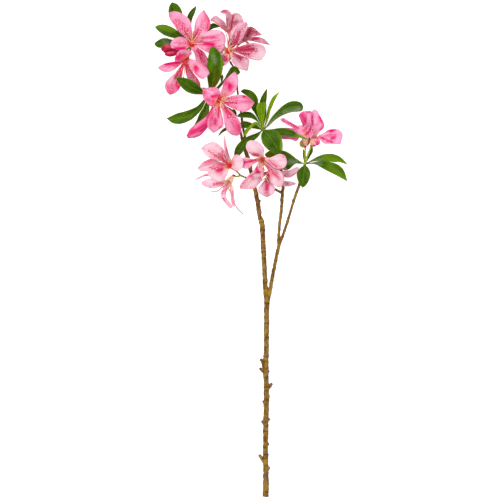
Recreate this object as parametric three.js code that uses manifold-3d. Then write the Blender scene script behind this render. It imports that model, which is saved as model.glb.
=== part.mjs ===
// A cut branch of a pink rhododendron of the azalea kind, lying on its back.
// Millimetres. X runs to the right, Y along the branch to its flowers, Z up from the surface.

import * as THREE from "three";
import { mergeVertices } from "three/addons/utils/BufferGeometryUtils.js";
import Module from "manifold-3d";

const wasm = await Module();
wasm.setup();

// Driving dimensions.
const LEAF_THICKNESS = 0.9;
const LOBE_THICKNESS = 0.9;
const SEAT_GAP = 0.35;
const STUB_RADIUS = 2;
const TUBE_WALL = 0.8;
const TUBE_FOOT_RADIUS = 1.7;
const TUBE_NECK_RADIUS = 2.4;
const TUBE_THROAT_RADIUS = 3.9;
const MOUTH_RADIUS = 6.2;
const TUBE_FLOOR = 1.3;
const LOBE_SINK = 2.6;
const LIP_RISE = 1.2;
const STALK_RADIUS = 1.1;
const CALYX_RADIUS = 1.9;
const CALYX_LENGTH = 2.2;
const FILAMENT_RADIUS = 0.55;
const FILAMENT_DISC_RADIUS = 0.9;
const FILAMENT_SPREAD = 1.2;
const CLEAR_OF_MOUTH = 3;
const HUB_RADIUS = 1.8;

// Mesh fineness.
const SHEET_SIDES = 6;
const LEAF_RINGS = 8;
const LOBE_RINGS = 6;
const WOOD_SIDES = 8;
const THIN_SIDES = 5;
const TUBE_SIDES = 8;
const SPUR_SIDES = 6;
const BUD_SIDES = 8;
const HALF_OPEN_SIDES = 10;
const FILAMENT_SIDES = 4;

// How wide a leaf or lobe is along its length, as [place, share of its full width].
const OUTLINES = {
  leaf: [[0, 0], [0.05, 0.12], [0.2, 0.5], [0.4, 0.93], [0.55, 1], [0.75, 0.8], [0.9, 0.42], [1, 0]],
  obovate: [[0, 0], [0.08, 0.12], [0.3, 0.45], [0.6, 0.93], [0.75, 1], [0.9, 0.72], [1, 0]],
  stalked: [[0, 0], [0.05, 0.1], [0.2, 0.16], [0.35, 0.75], [0.5, 1], [0.7, 0.8], [0.88, 0.42], [1, 0]],
  tailed: [[0, 0], [0.06, 0.2], [0.3, 0.85], [0.5, 1], [0.68, 0.72], [0.8, 0.15], [0.96, 0.13], [1, 0]],
  spatula: [[0, 0], [0.05, 0.35], [0.3, 0.55], [0.6, 0.8], [0.85, 1], [0.97, 0.9], [1, 0]],
  lobe: [[0, 0], [0.04, 0.32], [0.2, 0.5], [0.45, 0.85], [0.65, 1], [0.85, 0.82], [0.95, 0.5], [1, 0]],
  round: [[0, 0], [0.04, 0.4], [0.2, 0.72], [0.5, 1], [0.8, 0.9], [0.95, 0.6], [1, 0]],
  blunt: [[0, 0], [0.04, 0.28], [0.25, 0.5], [0.5, 0.88], [0.8, 1], [0.95, 0.75], [1, 0]],
  flared: [[0, 0], [0.04, 0.28], [0.3, 0.5], [0.6, 0.78], [0.88, 1], [0.97, 0.85], [1, 0]],
};

const PAINT = {
  bark: { color: 0x8a6a2c, roughness: 0.85 },
  leaf: { color: 0x2f6112, roughness: 0.42 },
  youngLeaf: { color: 0x86a90f, roughness: 0.45 },
  pink: { color: 0xf4729f, roughness: 0.6 },
  blush: { color: 0xf2b3c4, roughness: 0.6 },
  stamen: { color: 0xc8222c, roughness: 0.5 },
  stalk: { color: 0x8a9a2c, roughness: 0.55 },
  bud: { color: 0xc41840, roughness: 0.5 },
};

const UP = new THREE.Vector3(0, 0, 1);
const ACROSS = new THREE.Vector3(1, 0, 0);

const vec = (p) => new THREE.Vector3(p[0], p[1], p[2]);

// Reads a table of [place, value] pairs with straight lines between them.
function valueAt(table, place) {
  for (let i = 1; i < table.length; i++) {
    const [x0, y0] = table[i - 1];
    const [x1, y1] = table[i];
    if (place <= x1) {
      return y0 + ((y1 - y0) * (place - x0)) / (x1 - x0);
    }
  }
  return table[table.length - 1][1];
}

// Spreads a list of values evenly over the length and reads it in between.
function spreadAt(values, place) {
  const table = values.map((value, i) => [values.length > 1 ? i / (values.length - 1) : 0, value]);
  return table.length > 1 ? valueAt(table, place) : values[0];
}

function smoothCurve(points) {
  return new THREE.CatmullRomCurve3(points, false, "centripetal");
}

// Where a rod's local frame points at one place of its path.
function frameAt(curve, place, reference) {
  const ahead = curve.getTangentAt(place);
  const side = new THREE.Vector3().crossVectors(reference, ahead).normalize();
  const face = new THREE.Vector3().crossVectors(ahead, side);
  return { at: curve.getPointAt(place), ahead, side, face };
}

function moveVertices(geometry, move) {
  const position = geometry.getAttribute("position");
  const vertex = new THREE.Vector3();
  for (let i = 0; i < position.count; i++) {
    vertex.fromBufferAttribute(position, i);
    move(vertex);
    position.setXYZ(i, vertex.x, vertex.y, vertex.z);
  }
  return geometry;
}

// A closed manifold body from a three.js geometry.
function solid(geometry) {
  geometry.deleteAttribute("normal");
  geometry.deleteAttribute("uv");
  const welded = mergeVertices(geometry, 1e-4);
  const body = new wasm.Manifold(new wasm.Mesh({
    numProp: 3,
    vertProperties: new Float32Array(welded.getAttribute("position").array),
    triVerts: new Uint32Array(welded.getIndex().array),
  }));
  return body;
}

function joined(bodies) {
  return bodies.reduce((whole, body) => whole.add(body));
}

// A leaf or lobe: a ball drawn out along a path, flat across, pointed at both ends.
// roll turns its face about the path, in degrees; fold lifts both edges; cup bends it across.
function sheet(points, width, { outline = "leaf", roll = [0], side, fold = 0.15, thick, rings }) {
  const curve = smoothCurve(points);
  const ball = new THREE.SphereGeometry(1, SHEET_SIDES, rings);
  return moveVertices(ball, (vertex) => {
    const place = Math.min(1, Math.max(0, (1 - vertex.y) / 2));
    const ringRadius = Math.hypot(vertex.x, vertex.z);
    const u = ringRadius > 1e-6 ? vertex.x / ringRadius : 0;
    const v = ringRadius > 1e-6 ? vertex.z / ringRadius : 0;
    const { at, ahead } = frameAt(curve, place, UP);
    const across = side ? vec(side) : new THREE.Vector3().crossVectors(UP, ahead).normalize();
    across.addScaledVector(ahead, -across.dot(ahead)).normalize();
    across.applyAxisAngle(ahead, THREE.MathUtils.degToRad(spreadAt(roll, place)));
    const face = new THREE.Vector3().crossVectors(ahead, across);
    const half = (width / 2) * valueAt(OUTLINES[outline], place);
    const isEnd = ringRadius <= 1e-6;
    vertex.copy(at);
    if (!isEnd) {
      vertex.addScaledVector(across, half * u);
      vertex.addScaledVector(face, half * Math.abs(u) * fold + (thick / 2) * v);
    }
  });
}

// A round rod with its radius given at each point, as [x, y, z, radius].
function rod(points, sides, steps) {
  const curve = smoothCurve(points.map(vec));
  const chord = new THREE.Vector3().subVectors(vec(points[points.length - 1]), vec(points[0])).normalize();
  const reference = Math.abs(chord.z) > 0.8 ? ACROSS : UP;
  const lengths = [0];
  for (let i = 1; i < points.length; i++) {
    lengths.push(lengths[i - 1] + vec(points[i]).distanceTo(vec(points[i - 1])));
  }
  const total = lengths[lengths.length - 1];
  const radii = points.map((p, i) => [lengths[i] / total, p[3]]);
  const tube = new THREE.CylinderGeometry(1, 1, 1, sides, steps);
  return moveVertices(tube, (vertex) => {
    const place = Math.min(1, Math.max(0, vertex.y + 0.5));
    const { at, side, face } = frameAt(curve, place, reference);
    const radius = valueAt(radii, place);
    const { x, z } = vertex;
    vertex.copy(at).addScaledVector(side, x * radius).addScaledVector(face, -z * radius);
  });
}

const rodSolid = (points, sides = THIN_SIDES, steps = 4) => solid(rod(points, sides, steps));

// Whorl stubs: short upright wood where the leaves and flower stalks start, as centre and height range.
const STUBS = {
  top: { x: -88.5, y: 302, low: 19, high: 27.5 },
  left: { x: -63, y: 231, low: 22, high: 33 },
  middle: { x: 18.5, y: 178.5, low: 22, high: 42 },
  right: { x: 81, y: 128, low: 20, high: 33 },
};

// The point just off a stub where a leaf starts, in a direction in degrees from +X towards +Y.
function root(stub, direction, height) {
  const angle = THREE.MathUtils.degToRad(direction);
  const reach = STUB_RADIUS + SEAT_GAP;
  const { x, y } = STUBS[stub];
  return [x + reach * Math.cos(angle), y + reach * Math.sin(angle), height];
}

// Where a flower stalk group starts, just above a stub.
function above(stub) {
  const { x, y, high } = STUBS[stub];
  return [x, y, high + SEAT_GAP + HUB_RADIUS, HUB_RADIUS];
}

// The wood: each rod as its points [x, y, z, radius].
const WOOD = {
  trunk: [
    [22.3, -370.3, 3.9, 3.9], [22.4, -363, 4.1, 3.8], [22.4, -352, 4.6, 4.1], [22.2, -344, 4.9, 3.5],
    [22, -320, 5.7, 3.5], [21.8, -300, 6.4, 3.4], [21.9, -280, 7.1, 3.4], [22.2, -262, 7.8, 3.5],
    [22.8, -240, 8.5, 3.5], [23.2, -215, 9.4, 3.7], [23, -200, 9.9, 3.4], [22.2, -180, 10.6, 3.8],
    [22.2, -165, 11.1, 3.7], [22.9, -150, 11.6, 3.4], [23.3, -120, 12.7, 3.5], [23.4, -90, 13.6, 3.5],
    [24, -72, 14.2, 4],
  ],
  leftStem: [
    [24, -76, 14, 3.6], [22, -62, 14.6, 3.1], [20.6, -40, 15.2, 2.9], [19.6, -20, 15.8, 2.9],
    [18.8, 0, 16.4, 2.9], [17.6, 20, 17, 2.9], [16.4, 37, 17.5, 3.2], [13, 50, 18.2, 2.6],
    [10.6, 66, 19, 2.6], [7.6, 82, 19.8, 2.4], [2.5, 105, 21, 2.3], [-4.5, 135, 23, 2.2],
    [-9.75, 151.5, 24, 2.1],
  ],
  rightStem: [
    [24.5, -78, 14, 3.2], [27.3, -68, 14.6, 2.5], [31.3, -48, 15.4, 2.2], [35, -28, 16.2, 2.1],
    [38.4, -10, 17, 2], [41, 2, 17.6, 2.2], [42, 8, 17.8, 2.1],
  ],
  middleTwig: [
    [41.4, 2, 17.6, 1.9], [41.4, 18, 18.6, 1.6], [43.4, 40, 20, 1.6], [45.4, 58, 21.2, 1.7],
    [46.8, 78, 22.6, 1.8], [47.8, 94, 23.8, 1.7], [46.5, 110, 25, 1.6], [42.5, 128, 26, 1.5],
    [33, 151, 26.5, 1.5], [18.5, 178.5, 25.5, 1.6],
  ],
  rightTwig: [
    [41.6, 4, 17.6, 1.9], [46.2, 16, 18.6, 1.6], [51.4, 31, 20, 1.6], [57.6, 50, 21.6, 1.4],
    [64.6, 74, 22.6, 1.4], [71.2, 93, 23, 1.4], [77, 112, 23, 1.5], [81, 128, 23, 1.6],
  ],
  topStem: [
    [-9.75, 149, 23.8, 2.1], [-13.5, 165, 24.6, 1.8], [-16.5, 177, 25, 1.6], [-22.5, 191, 25, 1.5],
    [-29.5, 207.5, 25.5, 1.4], [-38, 213.5, 25.5, 1.4], [-52, 224, 25, 1.4], [-63, 231, 24.5, 1.5],
  ],
  topTwig: [
    [-63, 230, 24.5, 1.5], [-60, 243, 25, 1.4], [-57.5, 258, 25, 1.4], [-60, 275, 24, 1.3],
    [-68, 288, 23, 1.3], [-80, 297, 22, 1.3], [-88.5, 302, 21.5, 1.4],
  ],
  sideTwig: [
    [-9.75, 150, 24, 1.8], [-9, 167, 25, 1.5], [-12, 181.5, 25.5, 1.4], [-13.6, 195, 25.6, 1.4],
    [-15.8, 208.5, 26, 1.3], [-18.8, 223.5, 26.5, 1.2], [-20.2, 238.5, 27, 1.3], [-21.2, 253.5, 28, 1.2],
    [-23.6, 268, 29, 1.1], [-28, 275.5, 30, 1.2], [-31.5, 281, 30.5, 1.3],
  ],
  lowSpur: [[2, 104, 21, 1.4], [-4, 106, 25, 1.2], [-9, 107.5, 28.5, 1.1]],
  budTwig: [
    [-62.5, 231.5, 24.5, 1.2], [-54, 235.5, 25.5, 0.9], [-47, 243, 27.5, 0.9], [-44.4, 250.5, 29.5, 0.9],
    [-44, 255, 30.5, 2], [-43, 259, 31, 1.6], [-42.6, 261.5, 31.2, 0.5],
  ],
  brownStub: [[-63, 232, 27, 1.3], [-67, 239.5, 29, 1.2], [-72.5, 241.2, 30, 1.2]],
};

// Short pruned spurs and bark knobs, as two ends.
const SPURS = [
  [[19, -172, 11, 2.2], [13.8, -164.6, 11.6, 1.3]],
  [[19.5, -184, 10.5, 2], [12.8, -178.6, 10.8, 1.3]],
  [[24.5, -210, 9.5, 2.3], [31.8, -201.4, 10.2, 1.4]],
  [[25, -222, 9, 1.8], [27.8, -220.6, 9.2, 0.9]],
  [[20.5, -232, 8.8, 1.6], [17, -227.4, 9, 0.8]],
  [[20, -263, 7.8, 1.6], [15.8, -257.4, 8, 0.9]],
  [[24.5, -257, 8, 1.6], [27.9, -254.4, 8.2, 0.8]],
  [[24.5, -293.5, 6.6, 1.4], [27, -291.6, 6.8, 0.8]],
  [[19.5, -319, 5.8, 1.8], [12.4, -308.6, 6.6, 1.4]],
  [[24.5, -331, 5.4, 1.8], [28.6, -327.2, 6, 1.2]],
  [[24, -184, 10.4, 1.6], [27.4, -182.6, 10.6, 0.8]],
  [[21, -122, 12.6, 1.2], [18.8, -121.8, 12.8, 0.7]],
  [[17, 33, 17.5, 2.2], [19.6, 36.6, 17.8, 1.6]],
  [[11, 69, 19, 2], [13, 73.6, 19.4, 1.3]],
  [[46.8, 84.5, 23, 1.4], [41.5, 86.6, 23.4, 1.1], [35.6, 90, 24, 1.1]],
];

// Leaves: start, path, full width and shape.
const LEAVES = {
  leaf_top_rear: {
    from: root("top", 105, 22),
    path: [[-101, 330, 30], [-111.5, 350, 34], [-118.5, 370.3, 35]],
    width: 25, outline: "obovate",
  },
  leaf_top_small: {
    from: root("top", 122, 25),
    path: [[-96, 325, 36], [-94, 342, 41], [-90.5, 352, 42], [-82.5, 364.5, 43]],
    width: 13, roll: [25], outline: "obovate",
  },
  leaf_top_left: {
    from: root("top", 150, 25),
    path: [[-103, 318, 34], [-117, 325, 36], [-130, 330, 33], [-144, 333, 28]],
    width: 17, fold: 0.1,
  },
  leaf_top_low: {
    from: root("top", 178, 22),
    path: [[-104, 304, 21], [-124, 308.5, 14], [-145.5, 307.5, 0]],
    width: 17.5, roll: [-8], outline: "obovate",
  },
  leaf_top_right: {
    from: root("top", 38, 24),
    path: [[-74, 321, 27], [-61, 331.5, 29], [-46.5, 332.5, 30]],
    width: 16,
  },
  leaf_left_upright: {
    from: root("left", 78, 31),
    path: [[-58, 248, 38], [-54.5, 270, 45], [-55, 288, 52], [-58.5, 303.5, 57]],
    width: 24.5, fold: 0.08,
  },
  leaf_left_out: {
    from: root("left", 168, 31),
    path: [[-78, 237, 38], [-94, 246, 47], [-112, 256.6, 56]],
    width: 19, fold: 0.08,
  },
  leaf_left_edge: {
    from: root("left", 45, 28),
    path: [[-49.5, 242.5, 36], [-37.5, 257, 42], [-25.5, 270, 46], [-19.5, 261.5, 44]],
    width: 12, roll: [30, 45, 80, 50, 10], outline: "spatula",
  },
  leaf_left_down: {
    from: root("left", 215, 27),
    path: [[-78, 212, 31], [-97, 198.5, 32], [-113, 194, 29], [-126.5, 196, 25]],
    width: 17.5,
  },
  leaf_left_low: {
    from: root("left", 245, 30),
    path: [[-68, 212, 34], [-72.5, 200, 35], [-79, 190, 35], [-86.5, 182.5, 33]],
    width: 12.5,
  },
  leaf_twig_thin: {
    from: [-21.5, 185, 25.5],
    path: [[-34, 181.5, 28], [-42, 177.5, 29], [-49, 169.5, 28]],
    width: 4.5, roll: [20],
  },
  leaf_twig_short: {
    from: [-28.6, 208.4, 26.8],
    path: [[-25.5, 205.5, 31], [-26, 198, 33], [-28, 191, 33]],
    width: 8, outline: "round",
  },
  leaf_mid_curled: {
    from: root("middle", 112, 31),
    path: [[12, 198, 33], [5.8, 212.5, 37], [5.5, 224.5, 39], [-2.5, 234, 38], [-15, 235.8, 34]],
    width: 13, outline: "blunt",
  },
  leaf_mid_rear: {
    from: root("middle", 88, 27),
    path: [[18.3, 200, 28], [18, 220, 31], [23.8, 240.5, 34]],
    width: 11,
  },
  leaf_mid_young_broad: {
    from: root("middle", 96, 39.5),
    path: [[17, 195, 46], [16.3, 209, 55], [16.8, 218, 66]],
    width: 14, outline: "spatula", young: true,
  },
  leaf_mid_young_narrow: {
    from: root("middle", 68, 37),
    path: [[24, 196, 42], [28, 212, 47], [34, 225, 50], [43, 236, 52]],
    width: 8, roll: [-50], young: true,
  },
  leaf_mid_right: {
    from: root("middle", 38, 35),
    path: [[31, 193, 40], [45, 206, 44], [62, 213, 44], [78.5, 213, 40]],
    width: 17.5, outline: "blunt", fold: 0.1,
  },
  leaf_mid_left_high: {
    from: root("middle", 140, 34),
    path: [[6, 196, 38], [-6, 201.3, 40], [-21, 199.5, 38]],
    width: 12, roll: [40],
  },
  leaf_mid_left: {
    from: root("middle", 168, 29.5),
    path: [[5, 184.5, 30], [-7, 186.5, 30.5], [-18, 186, 30]],
    width: 12.5, roll: [15],
  },
  leaf_mid_young_curl: {
    from: root("middle", 142, 38.5),
    path: [[10.5, 189, 45], [2.5, 187.5, 48], [-5, 179, 46], [-9.5, 170, 42]],
    width: 8, roll: [50], young: true,
  },
  leaf_mid_low: {
    from: root("middle", 200, 32),
    path: [[5, 168.5, 35], [-9, 158.5, 38], [-17, 150, 39], [-24, 133, 38]],
    width: 13.5,
  },
  leaf_mid_front: {
    from: root("middle", -52, 40),
    path: [[23.8, 171.5, 47], [31.8, 158, 51], [43.6, 141.5, 50]],
    width: 27, outline: "round", fold: 0.08,
  },
  leaf_mid_tailed: {
    from: root("middle", -4, 35),
    path: [[38, 176.5, 42], [54, 175, 47.5], [68, 171, 54], [86, 165.8, 57]],
    width: 12, outline: "tailed",
  },
  leaf_right_broad: {
    from: root("right", 165, 27),
    path: [[66, 132.5, 31], [51, 133, 33], [36, 140, 33], [21, 142.5, 32]],
    width: 26, outline: "stalked", fold: 0.05,
  },
  leaf_right_high: {
    from: root("right", 22, 25),
    path: [[97, 133.5, 26], [112, 138, 26], [128, 136.5, 22], [143, 128.5, 15]],
    width: 12,
  },
  leaf_right_low: {
    from: root("right", -6, 29),
    path: [[100, 129, 31], [118, 125, 25], [134, 115.5, 13], [144.5, 101.5, 0]],
    width: 15.5,
  },
  leaf_right_down: {
    from: root("right", -93, 31),
    path: [[79.8, 116, 34], [79.4, 106, 36], [77, 92.5, 34]],
    width: 20.5, fold: 0.08,
  },
  bract_left: {
    from: root("right", 118, 31),
    path: [[78.6, 140, 33], [78.7, 150, 35]],
    width: 3.4,
  },
  bract_right: {
    from: root("right", 55, 29),
    path: [[87, 140, 30], [92, 152, 31]],
    width: 5, outline: "round",
  },
};

// Open flowers: foot and mouth of the tube, then each lobe as its path beyond the mouth and its width.
const FLOWERS = {
  "01": {
    foot: [-88, 304, 35], mouth: [-89, 308, 55], paint: "pink",
    lobes: [
      { path: [[-97.5, 327, 61], [-106, 341.5, 63], [-119, 355.5, 60]], width: 25.5, outline: "blunt" },
      { path: [[-80, 322, 60], [-73.5, 337, 63], [-70.5, 358, 60]], width: 24 },
      { path: [[-70, 311.5, 60], [-54, 312.5, 59], [-38.5, 313, 53]], width: 30 },
      { path: [[-80.5, 291, 48], [-76, 280, 44.5], [-70.5, 267, 41]], width: 22 },
      { path: [[-104, 308.5, 59], [-112, 307.5, 60], [-121, 306, 57]], width: 21, outline: "round" },
    ],
  },
  "02": {
    foot: [-92.5, 295.5, 34], mouth: [-98, 285, 49.5], paint: "pink",
    lobes: [
      {
        path: [[-101, 292.5, 57], [-103, 291.5, 64], [-105.5, 285, 69]], width: 27,
        side: [0.97, 0.22, 0], outline: "round", fold: -0.15,
      },
      { path: [[-115, 275.5, 51], [-127, 272.3, 50], [-139.5, 272, 45]], width: 17 },
      { path: [[-111, 263, 49], [-116.5, 249, 45], [-121.5, 231.6, 37]], width: 23 },
      { path: [[-92, 266, 42], [-87, 253, 36], [-81, 239, 30]], width: 19 },
      { path: [[-83, 276, 54], [-75, 268.5, 56], [-64.5, 261.5, 55]], width: 24, outline: "round" },
    ],
  },
  "03": {
    foot: [-31.3, 288.5, 35], mouth: [-34, 298, 53], paint: "blush",
    lobes: [
      { path: [[-26, 314, 61], [-18.5, 327, 62], [-9, 340, 58]], width: 23 },
      { path: [[-12, 297.5, 60], [4, 296.3, 59], [22.3, 295, 53]], width: 26 },
      { path: [[-20, 286, 53], [-13, 279, 50], [-6.5, 267.5, 44]], width: 22 },
      { path: [[-39, 285, 48], [-39, 276, 43]], width: 15, roll: [45] },
      { path: [[-47, 299.5, 46], [-57, 301, 41]], width: 16 },
    ],
  },
  "04": {
    foot: [-31, 317, 26], mouth: [-33, 329.5, 38], paint: "blush",
    lobes: [
      { path: [[-43, 335, 43], [-51, 341, 44], [-61, 343.5, 40]], width: 17, outline: "round" },
      { path: [[-34.5, 346, 45], [-36, 355, 46], [-46.5, 356, 45]], width: 11 },
      { path: [[-24, 344, 42], [-18, 354.5, 39]], width: 19, outline: "round" },
      { path: [[-20, 333, 37], [-12, 338, 33]], width: 14 },
    ],
  },
  "05": {
    foot: [-17.5, 308, 30], mouth: [-9, 316, 40], paint: "blush",
    lobes: [
      { path: [[0, 324.5, 43], [6, 325.5, 43], [16.5, 321.8, 40]], width: 15 },
      { path: [[8, 313.5, 41], [18, 312, 40], [28.3, 306.5, 37]], width: 12, roll: [30] },
      { path: [[-9, 326, 38], [-8.5, 335, 35]], width: 13 },
      { path: [[0, 308, 37], [9, 302, 34]], width: 13 },
    ],
  },
  "06": {
    foot: [-57, 228, 40], mouth: [-47.5, 223, 57], paint: "pink",
    lobes: [
      { path: [[-59, 229, 62], [-66, 231.5, 61], [-72.6, 232, 57]], width: 28, outline: "round" },
      { path: [[-34, 239.5, 64], [-31, 251, 64], [-24.5, 265.3, 60]], width: 22, outline: "round" },
      { path: [[-25, 220.5, 63], [-10, 219.3, 62], [5, 219.7, 57]], width: 25 },
      { path: [[-34.5, 203, 60], [-28.5, 188, 57], [-24, 169.3, 50]], width: 25, outline: "blunt" },
      { path: [[-52.5, 204, 58], [-54.5, 189, 54], [-56.5, 174, 47]], width: 23 },
    ],
  },
  "07": {
    foot: [-25, 119.5, 37], mouth: [-33.5, 126, 53], paint: "blush",
    lobes: [
      { path: [[-49, 140.5, 60], [-60, 148, 61], [-74, 151.5, 56]], width: 26 },
      { path: [[-37.5, 148, 66], [-40, 170, 68]], width: 13, roll: [70] },
      { path: [[-52, 128, 46], [-66, 125.5, 44], [-81.5, 119.4, 38]], width: 16.5 },
      { path: [[-48, 119.5, 64], [-61.5, 116, 69]], width: 35, outline: "round" },
      { path: [[-22, 129.5, 63], [-11.6, 130, 65]], width: 23, outline: "round" },
    ],
  },
  "08": {
    foot: [-27.6, 108.8, 32.5], mouth: [-35, 98, 43], paint: "blush",
    lobes: [
      {
        path: [[-50, 106, 45], [-64, 110.5, 48], [-75, 108.5, 48], [-86.5, 104.3, 46]],
        width: 10, roll: [75],
      },
      { path: [[-50, 97, 46], [-62, 99, 48], [-74.5, 99.5, 46]], width: 14 },
      { path: [[-41.5, 84, 47], [-39, 72, 46], [-29.5, 61.6, 43]], width: 11, roll: [25] },
      { path: [[-28.5, 84, 46], [-27.8, 74, 46], [-25.5, 63.5, 43]], width: 8, roll: [45] },
    ],
  },
  "09": {
    foot: [24.5, 128, 38], mouth: [15.6, 135, 55.5], paint: "blush",
    lobes: [
      { path: [[9.5, 146, 61], [4, 154, 62], [-1, 162, 60]], width: 23, outline: "round" },
      { path: [[1, 132, 59], [-8, 129, 57.5], [-19, 128, 54]], width: 17 },
      {
        path: [[7, 117, 57], [0, 104.5, 54], [-7.2, 89, 47]], roll: [-6],
        width: 24, outline: "flared",
      },
      { path: [[30.5, 118.5, 60], [38, 108, 58], [43.5, 94, 52]], width: 21 },
      { path: [[34, 133, 62], [44, 131, 62], [53.3, 131.3, 58]], width: 22, outline: "round" },
    ],
  },
  "10": {
    foot: [33.5, 118, 33.5], mouth: [25, 111, 46], paint: "blush",
    lobes: [
      { path: [[24, 97, 51], [23.7, 88, 50], [24, 78, 46]], width: 25, outline: "blunt" },
      { path: [[45, 113, 44], [58, 113.3, 42], [71.3, 121.6, 40]], width: 11, roll: [25] },
      { path: [[46, 100, 40], [56, 98, 38], [67.5, 98, 36]], width: 10, roll: [40] },
      { path: [[14, 111.5, 60], [8, 111.2, 63], [2.6, 110.5, 61]], width: 11 },
    ],
  },
  "11": {
    foot: [81.5, 155.5, 36], mouth: [81.5, 172, 44.5], paint: "pink",
    lobes: [
      { path: [[63, 184.5, 44], [45, 194.6, 42]], width: 9, roll: [50] },
      { path: [[64, 171.5, 39], [53, 174, 35], [39, 178.5, 32]], width: 17 },
      { path: [[77.5, 177, 51.5], [70, 182.5, 53]], width: 19, outline: "round" },
      { path: [[82, 190, 51], [80.5, 206.3, 50]], width: 19, outline: "blunt" },
    ],
  },
  "12": {
    foot: [91, 156, 34], mouth: [96.5, 170, 42], paint: "pink",
    lobes: [
      { path: [[100.5, 187, 44], [99.5, 198.5, 44], [94, 209.4, 42]], width: 18, outline: "round" },
      { path: [[112, 170, 45], [125, 170.5, 44], [137.3, 170.5, 40]], width: 23, outline: "blunt" },
      { path: [[91, 184, 37], [88, 194, 33]], width: 15 },
      { path: [[99.5, 163, 46], [101, 157, 46]], width: 12, outline: "round" },
    ],
  },
};

// Stamens and style of each flower that shows its inside, as the paths beyond the mouth.
const STAMENS = {
  "01": [
    [[-86.5, 316, 62], [-86.5, 323, 66]], [[-91, 315, 62], [-93, 320, 66]],
    [[-83, 311, 63], [-73, 318, 67]],
  ],
  "02": [
    [[-104, 274, 54], [-114.3, 257, 52]], [[-102, 272, 54], [-107, 260, 52]],
    [[-99.5, 271, 53], [-101, 258.5, 50]], [[-96, 272, 52], [-91.5, 261, 49]],
  ],
  "03": [
    [[-37, 302, 60], [-40.3, 305.5, 63]], [[-34, 308, 61], [-33, 317, 65]],
    [[-35, 313, 63], [-39, 328, 68]],
  ],
  "06": [
    [[-44, 223, 64], [-41, 222.5, 69]], [[-45, 227, 64], [-39.5, 230, 69]],
    [[-43, 219, 64], [-37, 217.5, 69]],
  ],
  "07": [
    [[-38, 129, 61], [-45, 134, 67]], [[-36, 131, 62], [-39.5, 138, 67]],
    [[-39, 126, 63], [-43, 127.5, 68]],
  ],
  "08": [
    [[-43, 93, 51], [-50, 87, 53], [-58, 86.5, 53]],
    [[-31, 86, 52], [-26.5, 72, 53], [-20, 60.5, 52], [-13.3, 53.5, 50]],
  ],
  "09": [
    [[20.5, 132.5, 67], [29, 125.5, 69], [38, 119.6, 67], [51, 121, 66]],
    [[18, 128, 68], [18.8, 117.5, 69]],
  ],
  "10": [
    [[24.5, 107, 53], [28.5, 110.5, 56]], [[20, 105.5, 50], [13, 100, 49]],
  ],
};

// Flower stalks: each group starts at its hub and forks to the feet it carries.
const STALKS = {
  stalk_top: {
    hub: above("top"),
    to: [["01"], ["02"], [null, [-98, 299.5, 32], [-106, 297, 36]]],
  },
  stalk_upper_right: {
    hub: [-32.6, 283, 31.2, 1.4],
    to: [["03"], ["04", [-32, 300, 27]], ["05", [-26, 295, 29]]],
  },
  stalk_left: {
    hub: above("left"),
    to: [["06"], [null, [-60, 222, 39], [-58, 212.5, 44]]],
  },
  stalk_low: {
    hub: [-10.3, 107.9, 29.4, 1.1],
    to: [["07", [-15, 110, 31], [-21, 116, 34]], ["08", [-15, 110, 31], [-22, 108.6, 31.5]]],
  },
  stalk_lower_middle: {
    hub: [41.6, 124.4, 28.8, 1.3],
    to: [["09", [36, 126, 33]], ["10", [38, 121.5, 31]]],
  },
  stalk_right: {
    hub: above("right"),
    to: [["11", [81.2, 142, 35]], ["12", [85.5, 142, 34.6]]],
  },
};

// A lobe's first two points: inside the tube's wall below the mouth, then just over its lip.
function lobeStart(mouth, axis, toward) {
  const out = new THREE.Vector3().subVectors(toward, mouth);
  out.addScaledVector(axis, -out.dot(axis)).normalize();
  const inWall = MOUTH_RADIUS - 1.75 * TUBE_WALL;
  const overLip = MOUTH_RADIUS + 0.75 * TUBE_WALL;
  const start = mouth.clone().addScaledVector(out, inWall).addScaledVector(axis, -LOBE_SINK);
  const lip = mouth.clone().addScaledVector(out, overLip).addScaledVector(axis, LIP_RISE);
  return [start, lip];
}

// A corolla: a hollow funnel with its lobes grown on the rim.
function corolla({ foot, mouth, lobes }) {
  const base = vec(foot);
  const rim = vec(mouth);
  const axis = new THREE.Vector3().subVectors(rim, base);
  const length = axis.length();
  axis.normalize();
  const neck = 0.3 * length;
  const throat = 0.65 * length;
  const profile = [
    [0, 0], [TUBE_FOOT_RADIUS, 0.4], [TUBE_NECK_RADIUS, neck], [TUBE_THROAT_RADIUS, throat],
    [MOUTH_RADIUS, length], [MOUTH_RADIUS - TUBE_WALL, length], [TUBE_THROAT_RADIUS - TUBE_WALL, throat],
    [TUBE_NECK_RADIUS - TUBE_WALL, neck], [1, TUBE_FLOOR + 0.3], [0, TUBE_FLOOR],
  ].map(([x, y]) => new THREE.Vector2(x, y));
  const funnel = new THREE.LatheGeometry(profile, TUBE_SIDES);
  funnel.applyQuaternion(new THREE.Quaternion().setFromUnitVectors(new THREE.Vector3(0, 1, 0), axis));
  funnel.translate(base.x, base.y, base.z);
  const petals = lobes.map(({ path, width, ...shape }) => {
    const beyond = path.map(vec);
    const points = [...lobeStart(rim, axis, beyond[0]), ...beyond];
    const options = { outline: "lobe", fold: 0.1, ...shape, thick: LOBE_THICKNESS, rings: LOBE_RINGS };
    return solid(sheet(points, width, options));
  });
  return joined([solid(funnel), ...petals]);
}

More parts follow.
